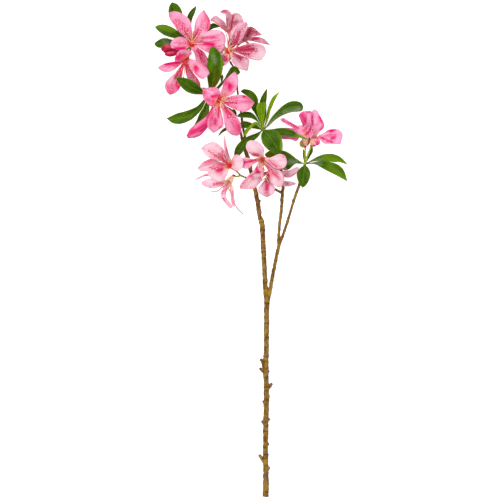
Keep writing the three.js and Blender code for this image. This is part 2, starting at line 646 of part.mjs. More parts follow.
// Filaments rise from a small disc on the tube's floor and leave through the mouth.
function stamenSet(flower, paths) {
  const base = vec(FLOWERS[flower].foot);
  const rim = vec(FLOWERS[flower].mouth);
  const axis = rim.clone().sub(base).normalize();
  const floor = base.clone().lerp(rim, 0.2);
  const disc = new THREE.SphereGeometry(FILAMENT_DISC_RADIUS, 5, 3);
  disc.translate(floor.x, floor.y, floor.z);
  const filaments = paths.map((path) => {
    const lean = vec(path[0]).sub(rim).normalize();
    const through = rim.clone().addScaledVector(axis, CLEAR_OF_MOUTH);
    through.addScaledVector(lean, FILAMENT_SPREAD);
    const points = [floor, through].map((p) => [p.x, p.y, p.z, FILAMENT_RADIUS]);
    const beyond = path.map((p) => [...p, FILAMENT_RADIUS]);
    return rodSolid([...points, ...beyond], FILAMENT_SIDES, 4);
  });
  return joined([solid(disc), ...filaments]);
}

// A stalk from the hub to just under a flower's foot, with the calyx as a small cup there.
function stalk(hub, [flower, ...via]) {
  const start = [...hub.slice(0, 3), STALK_RADIUS];
  if (flower === null) {
    return rodSolid([start, ...via.map((p) => [...p, STALK_RADIUS])]);
  }
  const base = vec(FLOWERS[flower].foot);
  const axis = new THREE.Vector3().subVectors(vec(FLOWERS[flower].mouth), base).normalize();
  const end = base.clone().addScaledVector(axis, -SEAT_GAP);
  const neck = end.clone().addScaledVector(axis, -CALYX_LENGTH);
  const points = [start, ...via.map((p) => [...p, STALK_RADIUS]), [neck.x, neck.y, neck.z, STALK_RADIUS]];
  const cup = [[neck.x, neck.y, neck.z, STALK_RADIUS], [end.x, end.y, end.z, CALYX_RADIUS]];
  return rodSolid(points).add(rodSolid(cup, SPUR_SIDES, 1));
}

function stalkGroup({ hub, to }) {
  const knot = new THREE.SphereGeometry(hub[3], 7, 5);
  knot.translate(hub[0], hub[1], hub[2]);
  return joined([solid(knot), ...to.map((one) => stalk(hub, one))]);
}

function woodBody() {
  const rods = Object.values(WOOD).map((points) => rodSolid(points, WOOD_SIDES, points.length - 1));
  const stubs = Object.values(STUBS).map(({ x, y, low, high }) => {
    return rodSolid([[x, y, low, STUB_RADIUS], [x, y, high, STUB_RADIUS]], WOOD_SIDES, 1);
  });
  const spurs = SPURS.map((points) => rodSolid(points, SPUR_SIDES, points.length - 1));
  return joined([...rods, ...stubs, ...spurs]);
}

function leafBody({ from, path, width, roll, outline, fold }) {
  const points = [from, ...path].map(vec);
  const shape = { roll, outline, fold, thick: LEAF_THICKNESS, rings: LEAF_RINGS };
  return solid(sheet(points, width, shape));
}

// The crimson pair: two swollen buds on one short stalk end.
function budPair() {
  const tall = [
    [-107, 297.6, 37, 1.2], [-114, 300, 39, 3.5], [-122, 301, 40, 6.2], [-129, 299.5, 40, 5.4],
    [-133.8, 298.6, 39.5, 1.2],
  ];
  const low = [
    [-107.5, 296.6, 37, 1.2], [-112, 295.5, 38, 3], [-117, 294.8, 39, 3.9], [-124, 293.8, 40, 3.4],
    [-128.5, 293, 40, 1],
  ];
  return rodSolid(tall, BUD_SIDES, 8).add(rodSolid(low, BUD_SIDES, 8));
}

function halfOpenFlower() {
  const points = [
    [-57.85, 211.9, 44.3, 1.5], [-61.3, 203, 46.5, 2.5], [-66, 194, 48, 4.8], [-73, 184.5, 49, 8],
    [-81, 178, 49, 8.6], [-89, 172.7, 48, 6.8], [-95.6, 168, 47, 2.4],
  ];
  return rodSolid(points, HALF_OPEN_SIDES, 10);
}

function meshFrom(name, body, paint) {
  const { vertProperties, triVerts } = body.getMesh();
  const geometry = new THREE.BufferGeometry();
  geometry.setAttribute("position", new THREE.BufferAttribute(new Float32Array(vertProperties), 3));
  geometry.setIndex(new THREE.BufferAttribute(new Uint32Array(triVerts), 1));
  geometry.computeVertexNormals();
  const mesh = new THREE.Mesh(geometry, new THREE.MeshStandardMaterial({ ...PAINT[paint], metalness: 0 }));
  mesh.name = name;
  return mesh;
}

function buildBranch() {
  const branch = new THREE.Group();
  branch.name = "rhododendron_branch";
  branch.add(meshFrom("woody_stem", woodBody(), "bark"));
  for (const [name, leaf] of Object.entries(LEAVES)) {
    branch.add(meshFrom(name, leafBody(leaf), leaf.young ? "youngLeaf" : "leaf"));
  }
  for (const [number, flower] of Object.entries(FLOWERS)) {
    branch.add(meshFrom(`corolla_${number}`, corolla(flower), flower.paint));
  }
  for (const [number, paths] of Object.entries(STAMENS)) {
    branch.add(meshFrom(`stamens_${number}`, stamenSet(number, paths), "stamen"));
  }
  for (const [name, group] of Object.entries(STALKS)) {
    branch.add(meshFrom(name, stalkGroup(group), "stalk"));
  }
  branch.add(meshFrom("bud_pair", budPair(), "bud"));
  branch.add(meshFrom("flower_half_open", halfOpenFlower(), "pink"));
  return branch;
}

export default buildBranch();
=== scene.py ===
"""A cut branch of a pink azalea, lying on its back: bark, leaves, flowers, stalks and buds.

The tables are in millimetres: X to the right, Y along the branch to its flowers, Z up. Meshes are in metres.
"""

import math

import bpy
import numpy as np
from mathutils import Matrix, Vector, kdtree, noise


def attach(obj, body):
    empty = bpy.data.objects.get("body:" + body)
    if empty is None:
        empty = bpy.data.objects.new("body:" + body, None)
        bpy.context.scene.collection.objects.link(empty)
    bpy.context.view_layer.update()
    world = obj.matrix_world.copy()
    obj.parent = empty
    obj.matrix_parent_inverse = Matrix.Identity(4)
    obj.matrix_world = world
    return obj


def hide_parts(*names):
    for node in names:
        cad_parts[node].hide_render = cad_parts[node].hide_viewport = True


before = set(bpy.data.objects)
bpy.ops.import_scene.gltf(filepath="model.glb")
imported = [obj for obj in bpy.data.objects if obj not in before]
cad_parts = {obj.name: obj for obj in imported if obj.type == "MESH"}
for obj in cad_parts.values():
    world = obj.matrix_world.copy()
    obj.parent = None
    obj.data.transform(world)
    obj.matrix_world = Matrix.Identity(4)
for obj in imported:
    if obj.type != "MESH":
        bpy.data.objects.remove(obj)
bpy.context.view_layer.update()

MM = 0.001
UP = np.array([0.0, 0.0, 1.0])

# Where along a blade its two edges are told apart.
EDGE_TEST = np.array([0.35])

# The size and place of the picture on the ground, in millimetres.
VIEW_SIZE = 750
VIEW_CENTRE = (-1.5, -1.5)
CAMERA_HEIGHT = 900

# How bright the lamps and the surround are together, the surround alone, and the surround in reflections.
LIGHT = 1.3
SURROUND = 0.75
SURROUND_GLOSS = 0.1

# Driving dimensions, in millimetres.
SEAT_GAP = 0.35
STUB_RADIUS = 2
HUB_RADIUS = 1.8
TUBE_FOOT_RADIUS = 1.7
TUBE_NECK_RADIUS = 2.2
TUBE_THROAT_RADIUS = 3.5
MOUTH_RADIUS = 6.2
IN_WALL = MOUTH_RADIUS - 1.4
OVER_LIP = MOUTH_RADIUS + 0.6
LOBE_SINK = 2.6
LIP_RISE = 1.2
STALK_RADIUS = 1.3
CALYX_RADIUS = 2.3
CALYX_LENGTH = 3
PETAL_THICKNESS = 0.45
LEAF_THICKNESS = 0.55
CLEAR_OF_MOUTH = 3
FILAMENT_SPREAD = 1.2


# Smooth lines and blades

class Path:
    """A smooth line through points, read by its share of length."""

    def __init__(self, points):
        knots = np.array(points, float)
        ends = [2 * knots[0] - knots[1], *knots, 2 * knots[-1] - knots[-2]]
        line = [knots[:1]]
        for four in zip(ends, ends[1:], ends[2:], ends[3:]):
            line.append(self.between(*four))
        self.line = np.concatenate(line)
        self.share, self.length = shares(self.line)

    @staticmethod
    def between(before, start, stop, after, steps=24):
        """Points from start to stop on a centripetal curve through all four."""
        pairs = (before, start), (start, stop), (stop, after)
        gaps = [max(1e-3, np.linalg.norm(b - a)) ** 0.5 for a, b in pairs]
        leave = (start - before) / gaps[0] - (stop - before) / (gaps[0] + gaps[1]) + (stop - start) / gaps[1]
        arrive = (stop - start) / gaps[1] - (after - start) / (gaps[1] + gaps[2]) + (after - stop) / gaps[2]
        leave, arrive = leave * gaps[1], arrive * gaps[1]
        t = np.linspace(0, 1, steps + 1)[1:, None]
        bend = -3 * start + 3 * stop - 2 * leave - arrive
        close = 2 * start - 2 * stop + leave + arrive
        return start + leave * t + bend * t**2 + close * t**3

    def at(self, share):
        return np.stack([np.interp(share, self.share, self.line[:, k]) for k in range(3)], axis=-1)

    def ahead(self, share):
        step = 0.004
        return unit(self.at(np.minimum(share + step, 1)) - self.at(np.maximum(share - step, 0)))


def unit(vectors):
    return vectors / np.maximum(np.linalg.norm(vectors, axis=-1, keepdims=True), 1e-12)


def shares(points):
    """How far along a line its points lie, as shares of its length, and the length."""
    reach = np.concatenate([[0], np.cumsum(np.linalg.norm(np.diff(points, axis=0), axis=1))])
    return reach / reach[-1], reach[-1]


def radius_at(share, knots):
    """A rod's radius along it, from its points with the radius there."""
    return np.interp(share, shares(knots[:, :3])[0], knots[:, 3])


def ease(x, start, stop):
    """0 before start, 1 after stop and smooth between them."""
    t = np.clip((x - start) / (stop - start), 0, 1)
    return t * t * (3 - 2 * t)


def width_share(outline, share):
    """A blade's width along its length, as a smooth curve through its outline's points."""
    x, y = np.array(OUTLINES[outline], float).T
    rise = np.diff(y) / np.diff(x)
    slope = np.concatenate([rise[:1], np.zeros(len(x) - 2), rise[-1:]])
    for k in range(1, len(x) - 1):
        if rise[k - 1] * rise[k] > 0:
            slope[k] = 2 * rise[k - 1] * rise[k] / (rise[k - 1] + rise[k])
    k = np.clip(np.searchsorted(x, share, side="right") - 1, 0, len(x) - 2)
    step = x[k + 1] - x[k]
    t = (share - x[k]) / step
    value = (
        y[k] * (1 + 2 * t) * (1 - t) ** 2
        + slope[k] * step * t * (1 - t) ** 2
        + y[k + 1] * t**2 * (3 - 2 * t)
        + slope[k + 1] * step * t**2 * (t - 1)
    )
    if outline not in POINTED:
        last = k == len(x) - 2
        value = np.where(last, y[-2] * np.sqrt(np.maximum(1 - t, 0)), value)
    return value


def blade_frame(path, share, roll, side):
    """Where a blade's middle lies and the directions across it and out of its face."""
    at, ahead = path.at(share), path.ahead(share)
    across = np.cross(UP, ahead) if side is None else np.broadcast_to(np.array(side, float), ahead.shape)
    across = unit(across - ahead * np.sum(across * ahead, axis=-1, keepdims=True))
    places = np.linspace(0, 1, len(roll)) if len(roll) > 1 else [0]
    turn = np.radians(np.interp(share, places, roll))[:, None]
    across = across * np.cos(turn) + np.cross(ahead, across) * np.sin(turn)
    return at, across, np.cross(ahead, across)


# Meshes

def pick(*pieces):
    """Selects these pieces and nothing else, the first one active."""
    bpy.ops.object.select_all(action="DESELECT")
    for piece in pieces:
        piece.select_set(True)
    bpy.context.view_layer.objects.active = pieces[0]


def read(rows, field):
    """Three numbers a row, from a mesh."""
    flat = np.zeros(len(rows) * 3)
    rows.foreach_get(field, flat)
    return flat.reshape(-1, 3)


def new_grid(name, cells_across, cells_along):
    """A flat grid, with each vertex's place across from -1 to 1 and along from 0 to 1."""
    bpy.ops.object.select_all(action="DESELECT")
    bpy.ops.mesh.primitive_grid_add(x_subdivisions=cells_across, y_subdivisions=cells_along, size=2)
    piece = bpy.context.object
    piece.name = name
    flat = read(piece.data.vertices, "co")
    return piece, flat[:, 0], (flat[:, 1] + 1) / 2


def move_to(piece, points):
    """Moves a mesh's vertices to points given in millimetres."""
    piece.data.vertices.foreach_set("co", (np.asarray(points) * MM).ravel())
    piece.data.update()


def points_of(piece):
    return read(piece.data.vertices, "co") / MM


def normals_of(piece):
    return read(piece.data.vertex_normals, "vector")


def keep(piece, name, *columns):
    """Stores three numbers, or the strengths of four kinds of mark, at each vertex for the materials."""
    kind, field = ("FLOAT_VECTOR", "vector") if len(columns) == 3 else ("FLOAT_COLOR", "color")
    layer = piece.data.attributes.new(name, kind, "POINT")
    columns = [np.broadcast_to(c, len(piece.data.vertices)) for c in columns]
    layer.data.foreach_set(field, np.stack(columns, axis=1).astype(np.float32).ravel())


def cover(points, marks, kind):
    """How strongly the marks of one kind cover each point: a mark is a stroke on the ground plan."""
    strength = np.zeros(len(points))
    for x1, y1, x2, y2, width, most in marks.get(kind, []):
        start, line = np.array([x1, y1]), np.array([x2 - x1, y2 - y1])
        along = np.clip((points[:, :2] - start) @ line / max(line @ line, 1e-9), 0, 1)
        gap = np.linalg.norm(points[:, :2] - start - along[:, None] * line, axis=1)
        strength = np.maximum(strength, most * np.exp(-((gap / width) ** 2)))
    return strength


def edge_lines(edges, low, high):
    """A blade's two edges as smooth lines: the one nearer to the low point first."""
    first, second = edges
    both = first, second + first[-2:]
    lines = [Path([[*spot, 0] for spot in np.reshape(edge, (-1, 2))]) for edge in both]
    first, second = (line.at(EDGE_TEST)[0, :2] for line in lines)
    straight = np.linalg.norm(first - low[:2]) + np.linalg.norm(second - high[:2])
    crossed = np.linalg.norm(first - high[:2]) + np.linalg.norm(second - low[:2])
    return lines if straight <= crossed else lines[::-1]


def between_edges(lines, share, u):
    """Places on the ground plan from one edge at -1 to the other at 1, and half the gap between the edges."""
    low, high = (line.at(share) for line in lines)
    middle = (low + high) / 2
    half = np.linalg.norm(high - low, axis=-1) / 2
    return middle + (high - low) / 2 * u[:, None], half


def join(name, pieces):
    """Joins meshes into one piece."""
    pick(*pieces)
    if len(pieces) > 1:
        bpy.ops.object.join()
    pieces[0].name = name
    return pieces[0]


def close_seams(piece, gap=0.01):
    """Merges doubled vertices and turns the faces outwards."""
    pick(piece)
    bpy.ops.object.mode_set(mode="EDIT")
    bpy.ops.mesh.select_all(action="SELECT")
    bpy.ops.mesh.remove_doubles(threshold=gap * MM)
    bpy.ops.mesh.normals_make_consistent(inside=False)
    bpy.ops.object.mode_set(mode="OBJECT")
    return piece


def apply(piece, kind, **settings):
    """Adds a modifier and applies it."""
    pick(piece)
    modifier = piece.modifiers.new(kind.lower(), kind)
    for name, value in settings.items():
        setattr(modifier, name, value)
    bpy.ops.object.modifier_apply(modifier=modifier.name)
    return piece


def finish_piece(piece, finish, slot, *nodes, more=()):
    """Gives a piece its materials and puts it on the branch. The slot is not used."""
    for one in (finish, *more):
        piece.data.materials.append(one)
    pick(piece)
    bpy.ops.object.shade_smooth()
    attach(piece, "root")
    if nodes:
        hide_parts(*nodes)
    return piece


def rod(name, points, sides, step, round_ends=False):
    """A round rod with its radius given at each point, closed at both ends."""
    knots = np.array(points, float)
    path = Path(knots[:, :3])
    rows = max(4, round(path.length / step))
    piece, u, v = new_grid(name, sides, rows + 2)
    row = np.clip(np.round(v * (rows + 2)) - 1, 0, rows)
    share = row / rows
    radius = radius_at(share, knots)
    capped = (v < 1e-6) | (v > 1 - 1e-6)
    at, ahead = path.at(share), path.ahead(share)
    chord = unit(knots[-1, :3] - knots[0, :3])
    reference = np.array([1.0, 0, 0]) if abs(chord[2]) > 0.8 else UP
    side = unit(np.cross(reference, ahead))
    face = np.cross(ahead, side)
    angle = (math.pi * (u + 1))[:, None]
    out = side * np.sin(angle) + face * np.cos(angle)
    points = at + out * np.where(capped, 0, radius)[:, None]
    if round_ends:
        bulge = np.where(v < 0.5, -1, 1) * np.where(capped, radius * 0.8, 0)
        points = points + ahead * bulge[:, None]
    move_to(piece, points)
    keep(piece, "fan", u, share, 0)
    return close_seams(piece)


# Layout

def root(stub, direction, height):
    """The point just off a stub where a leaf starts. The direction is in degrees from +X towards +Y."""
    angle = math.radians(direction)
    reach = STUB_RADIUS + SEAT_GAP
    return [STUBS[stub]["x"] + reach * math.cos(angle), STUBS[stub]["y"] + reach * math.sin(angle), height]


def above(stub):
    """Where a flower stalk group starts, just above a stub."""
    spot = STUBS[stub]
    return [spot["x"], spot["y"], spot["high"] + SEAT_GAP + HUB_RADIUS, HUB_RADIUS]


# How wide a leaf or lobe is along its length, as [place, share of its full width].
OUTLINES = {
  "leaf": [[0, 0], [0.05, 0.12], [0.2, 0.5], [0.4, 0.93], [0.55, 1], [0.75, 0.8], [0.9, 0.42], [1, 0]],
  "obovate": [[0, 0], [0.08, 0.12], [0.3, 0.45], [0.6, 0.93], [0.75, 1], [0.9, 0.72], [1, 0]],
  "stalked": [[0, 0], [0.05, 0.1], [0.2, 0.16], [0.35, 0.75], [0.5, 1], [0.7, 0.8], [0.88, 0.42], [1, 0]],
  "tailed": [[0, 0], [0.06, 0.2], [0.3, 0.85], [0.5, 1], [0.68, 0.72], [0.8, 0.15], [0.96, 0.13], [1, 0]],
  "spatula": [[0, 0], [0.05, 0.35], [0.3, 0.55], [0.6, 0.8], [0.85, 1], [0.97, 0.9], [1, 0]],
  "lobe": [[0, 0], [0.04, 0.32], [0.2, 0.5], [0.45, 0.85], [0.65, 1], [0.85, 0.82], [0.95, 0.5], [1, 0]],
  "round": [[0, 0], [0.04, 0.4], [0.2, 0.72], [0.5, 1], [0.8, 0.9], [0.95, 0.6], [1, 0]],
  "blunt": [[0, 0], [0.04, 0.28], [0.25, 0.5], [0.5, 0.88], [0.8, 1], [0.95, 0.75], [1, 0]],
  "flared": [[0, 0], [0.04, 0.28], [0.3, 0.5], [0.6, 0.78], [0.88, 1], [0.97, 0.85], [1, 0]],
}
POINTED = ("leaf", "stalked", "tailed", "obovate")

# Where the leaf whorls sit: the foot and top of each short stub.
STUBS = {
  "top": {"x": -88.5, "y": 302, "low": 19, "high": 27.5},
  "left": {"x": -63, "y": 231, "low": 22, "high": 33},
  "middle": {"x": 18.5, "y": 178.5, "low": 22, "high": 42},
  "right": {"x": 81, "y": 128, "low": 20, "high": 33},
}

# The wood, as points with the radius there. Below it, the pruned spurs and knobs on the trunk and branches.
WOOD = {
  "trunk": [[22.3, -370.3, 3.9, 4.32], [22.4, -363, 4.1, 4.22], [22.4, -352, 4.6, 4.52],
    [22.2, -344, 4.9, 3.92], [22, -320, 5.7, 3.92], [21.8, -300, 6.4, 3.82], [21.9, -280, 7.1, 3.82],
    [22.2, -262, 7.8, 3.92], [22.8, -240, 8.5, 3.92], [23.2, -215, 9.4, 4.12], [23, -200, 9.9, 3.82],
    [22.2, -180, 10.6, 4.22], [22.2, -165, 11.1, 4.12], [22.9, -150, 11.6, 3.82], [23.3, -120, 12.7, 3.92],
    [23.4, -90, 13.6, 3.92], [24, -72, 14.2, 4.42]],
  "leftStem": [[24, -76, 14, 4.35], [22, -62, 14.6, 3.85], [20.6, -40, 15.2, 3.65], [19.6, -20, 15.8, 3.65],
    [18.8, 0, 16.4, 3.65], [17.6, 20, 17, 3.65], [16.4, 37, 17.5, 3.95], [13, 50, 18.2, 3.35],
    [10.6, 66, 19, 3.35], [7.6, 82, 19.8, 3.15], [2.5, 105, 21, 3.05], [-4.5, 135, 23, 2.95],
    [-9.75, 151.5, 24, 2.85]],
  "rightStem": [[24.5, -78, 14, 3.8], [27.3, -68, 14.6, 3.1], [31.3, -48, 15.4, 2.8], [35, -28, 16.2, 2.7],
    [38.4, -10, 17, 2.6], [41, 2, 17.6, 2.8], [42, 8, 17.8, 2.7]],
  "middleTwig": [[41.4, 2, 17.6, 2.6], [41.4, 18, 18.6, 2.3], [43.4, 40, 20, 2.3], [45.4, 58, 21.2, 2.4],
    [46.8, 78, 22.6, 2.5], [47.8, 94, 23.8, 2.4], [46.5, 110, 25, 2.3], [42.5, 128, 26, 2.2],
    [33, 151, 26.5, 2.2], [18.5, 178.5, 25.5, 2.3]],
  "rightTwig": [[41.6, 4, 17.6, 2.35], [46.2, 16, 18.6, 2.25], [51.4, 31, 20, 2.25], [57.6, 50, 21.6, 2.15],
    [64.6, 74, 22.6, 2.15], [71.2, 93, 23, 2.15], [77, 112, 23, 2.15], [81, 128, 23, 2.15]],
  "topStem": [[-9.75, 149, 23.8, 2.45], [-13.5, 165, 24.6, 2.15], [-16.5, 177, 25, 1.95],
    [-22.5, 191, 25, 1.85], [-29.5, 207.5, 25.5, 1.75], [-38, 213.5, 25.5, 1.75], [-52, 224, 25, 1.75],
    [-63, 231, 24.5, 1.85]],
  "topTwig": [[-63, 230, 24.5, 1.8], [-60, 243, 25, 1.7], [-57.5, 258, 25, 1.7], [-60, 275, 24, 1.6],
    [-68, 288, 23, 1.6], [-80, 297, 22, 1.6], [-88.5, 302, 21.5, 1.7]],
  "sideTwig": [[-9.75, 150, 24, 2.1], [-9, 167, 25, 1.8], [-12, 181.5, 25.5, 1.7], [-13.6, 195, 25.6, 1.7],
    [-15.8, 208.5, 26, 1.6], [-18.8, 223.5, 26.5, 1.5], [-20.2, 238.5, 27, 1.6], [-21.2, 253.5, 28, 1.5],
    [-23.6, 268, 29, 1.4], [-28, 275.5, 30, 1.5], [-31.5, 281, 30.5, 1.6]],
  "lowSpur": [[2, 104, 21, 1.7], [-4, 106, 25, 1.5], [-9, 107.5, 28.5, 1.4]],
  "budTwig": [[-62.5, 231.5, 24.5, 1.3], [-54, 235.5, 25.5, 1], [-47, 243, 27.5, 1],
    [-44.4, 250.5, 29.5, 1], [-44, 255, 30.5, 2.1], [-43, 259, 31, 1.7], [-42.6, 261.5, 31.2, 0.6]],
  "brownStub": [[-63, 232, 27, 1.6], [-67, 239.5, 29, 1.5], [-72.5, 241.2, 30, 1.5]],
}
SPURS = [[[21, -188, 10.8, 3.2], [18.6, -174, 11.4, 2.6], [15.5, -167, 11.6, 1.8]],
  [[21, -264, 7.8, 3], [18.8, -256, 8.1, 2]], [[19, -172, 11, 3.1], [13.8, -164.6, 11.6, 2.1]],
  [[19.5, -184, 10.5, 2.9], [12.8, -178.6, 10.8, 2.1]], [[24.5, -210, 9.5, 3.3], [31.8, -201.4, 10.2, 2.2]],
  [[25, -222, 9, 2.7], [27.8, -220.6, 9.2, 1.6]], [[20.5, -232, 8.8, 2.4], [17, -227.4, 9, 1.5]],
  [[20, -263, 7.8, 2.4], [15.8, -257.4, 8, 1.6]], [[24.5, -257, 8, 2.4], [27.9, -254.4, 8.2, 1.5]],
  [[24.5, -293.5, 6.6, 2.2], [27, -291.6, 6.8, 1.5]], [[19.5, -319, 5.8, 2.7], [12.4, -308.6, 6.6, 2.2]],
  [[24.5, -331, 5.4, 2.7], [28.6, -327.2, 6, 1.9]], [[24, -184, 10.4, 2.4], [27.4, -182.6, 10.6, 1.5]],
  [[21, -122, 12.6, 1.9], [18.8, -121.8, 12.8, 1.3]], [[17, 33, 17.5, 3.1], [19.6, 36.6, 17.8, 2.4]],
  [[11, 69, 19, 2.9], [13, 73.6, 19.4, 2.1]],
  [[46.8, 84.5, 23, 2.2], [41.5, 86.6, 23.4, 1.8], [35.6, 90, 24, 1.8]]]

# A leaf starts at a point, or beside a stub: its name, the direction in degrees from +X to +Y and the height.
# Its path runs on to its tip.
LEAVES = {
  "leaf_top_rear": {"from": ("top", 105, 22),
    "path": [[-101, 330, 30], [-111.5, 350, 34], [-118.5, 370.3, 35]], "width": 25, "outline": "obovate"},
  "leaf_top_small": {"from": ("top", 122, 25),
    "path": [[-96, 325, 36], [-94, 342, 41], [-90.5, 352, 42], [-82.5, 364.5, 43]], "width": 13,
    "roll": [25], "outline": "obovate"},
  "leaf_top_left": {"from": ("top", 150, 25),
    "path": [[-103, 318, 34], [-117, 325, 36], [-130, 330, 33], [-144, 333, 28]], "width": 17, "fold": 0.1},
  "leaf_top_low": {"from": ("top", 178, 22),
    "path": [[-104, 304, 21], [-124, 308.5, 14], [-145.5, 307.5, 0]], "width": 17.5, "roll": [-8],
    "outline": "obovate"},
  "leaf_top_right": {"from": ("top", 38, 24),
    "path": [[-74, 321, 27], [-61, 331.5, 29], [-46.5, 332.5, 30]], "width": 16},
  "leaf_left_upright": {"from": ("left", 78, 31),
    "path": [[-58, 248, 40], [-54.5, 270, 51], [-55, 288, 62.5], [-58.5, 303.5, 68]], "width": 24.5,
    "fold": 0.08},
  "leaf_left_out": {"from": ("left", 168, 31), "path": [[-78, 237, 38], [-94, 246, 47], [-112, 256.6, 56]],
    "width": 19, "fold": 0.08},
  "leaf_left_edge": {"from": ("left", 45, 28),
    "path": [[-49.5, 242.5, 36], [-37.5, 257, 42], [-25.5, 270, 46], [-19.5, 261.5, 44]], "width": 12,
    "roll": [30, 45, 80, 50, 10], "outline": "spatula"},
  "leaf_left_down": {"from": ("left", 215, 27),
    "path": [[-78, 212, 31], [-97, 198.5, 32], [-113, 194, 29], [-126.5, 196, 25]], "width": 17.5},
  "leaf_left_low": {"from": ("left", 245, 30),
    "path": [[-68, 212, 34], [-72.5, 200, 35], [-79, 190, 35], [-86.5, 182.5, 33]], "width": 12.5},
  "leaf_twig_thin": {"from": [-21.5, 185, 25.5],
    "path": [[-34, 181.5, 28], [-42, 177.5, 29], [-49, 169.5, 28]], "width": 4.5, "roll": [20]},
  "leaf_twig_short": {"from": [-28.6, 208.4, 26.8],
    "path": [[-25.5, 205.5, 31], [-26, 198, 33], [-28, 191, 33]], "width": 8, "outline": "round"},
  "leaf_mid_curled": {"from": ("middle", 112, 31),
    "path": [[12, 198, 33], [5.8, 212.5, 37], [5.5, 224.5, 39], [-2.5, 234, 38], [-15, 235.8, 34]],
    "width": 13, "outline": "blunt"},
  "leaf_mid_rear": {"from": ("middle", 88, 27), "path": [[18.3, 200, 28], [18, 220, 31], [23.8, 240.5, 34]],
    "width": 11},
  "leaf_mid_young_broad": {"from": ("middle", 96, 39.5),
    "path": [[17, 195, 46], [16.3, 209, 55], [16.8, 218, 66]], "width": 14, "outline": "spatula",
    "young": True},
  "leaf_mid_young_narrow": {"from": ("middle", 68, 37),
    "path": [[24, 196, 42], [28, 212, 47], [34, 225, 50], [43, 236, 52]], "width": 8, "roll": [-50],
    "young": True},
  "leaf_mid_right": {"from": ("middle", 38, 35),
    "path": [[31, 193, 40], [45, 206, 44], [62, 213, 44], [78.5, 213, 40]], "width": 17.5,
    "outline": "blunt", "fold": 0.1},
  "leaf_mid_left_high": {"from": ("middle", 140, 34),
    "path": [[6, 196, 38], [-6, 201.3, 40], [-21, 199.5, 38]], "width": 12, "roll": [40]},
  "leaf_mid_left": {"from": ("middle", 168, 29.5),
    "path": [[5, 184.5, 30], [-7, 186.5, 30.5], [-18, 186, 30]], "width": 12.5, "roll": [15]},
  "leaf_mid_young_curl": {"from": ("middle", 142, 38.5),
    "path": [[10.5, 189, 45], [2.5, 187.5, 48], [-5, 179, 46], [-9.5, 170, 42]], "width": 8, "roll": [50],
    "young": True},
  "leaf_mid_low": {"from": ("middle", 200, 32),
    "path": [[5, 168.5, 35], [-9, 158.5, 38], [-17, 150, 39], [-24, 133, 38]], "width": 13.5},
  "leaf_mid_front": {"from": ("middle", -52, 40),
    "path": [[23.8, 171.5, 47], [31.8, 158, 51], [43.6, 141.5, 50]], "width": 27, "outline": "round",
    "fold": 0.08},
  "leaf_mid_tailed": {"from": ("middle", -4, 35),
    "path": [[38, 176.5, 42], [54, 175, 47.5], [68, 171, 54], [86, 165.8, 57]], "width": 12,
    "outline": "tailed"},
  "leaf_right_broad": {"from": ("right", 165, 27),
    "path": [[66, 132.5, 31], [51, 133, 33], [36, 140, 33], [21, 142.5, 32]], "width": 26,
    "outline": "stalked", "fold": 0.05},
  "leaf_right_high": {"from": ("right", 22, 25),
    "path": [[97, 133.5, 26], [112, 138, 26], [128, 136.5, 22], [143, 128.5, 15]], "width": 12},
  "leaf_right_low": {"from": ("right", -6, 29),
    "path": [[100, 129, 31], [118, 125, 25], [134, 115.5, 13], [144.5, 101.5, 0]], "width": 15.5},
  "leaf_right_down": {"from": ("right", -93, 31),
    "path": [[79.8, 116, 34], [79.4, 106, 36], [77, 92.5, 34]], "width": 20.5, "fold": 0.08},
  "bract_left": {"from": ("right", 118, 31), "path": [[79.2, 140, 33], [79, 150, 35]], "width": 4.8},
  "bract_right": {"from": ("right", 55, 29), "path": [[86.4, 140, 30], [90.8, 152, 31]], "width": 7,
    "outline": "round"},
}

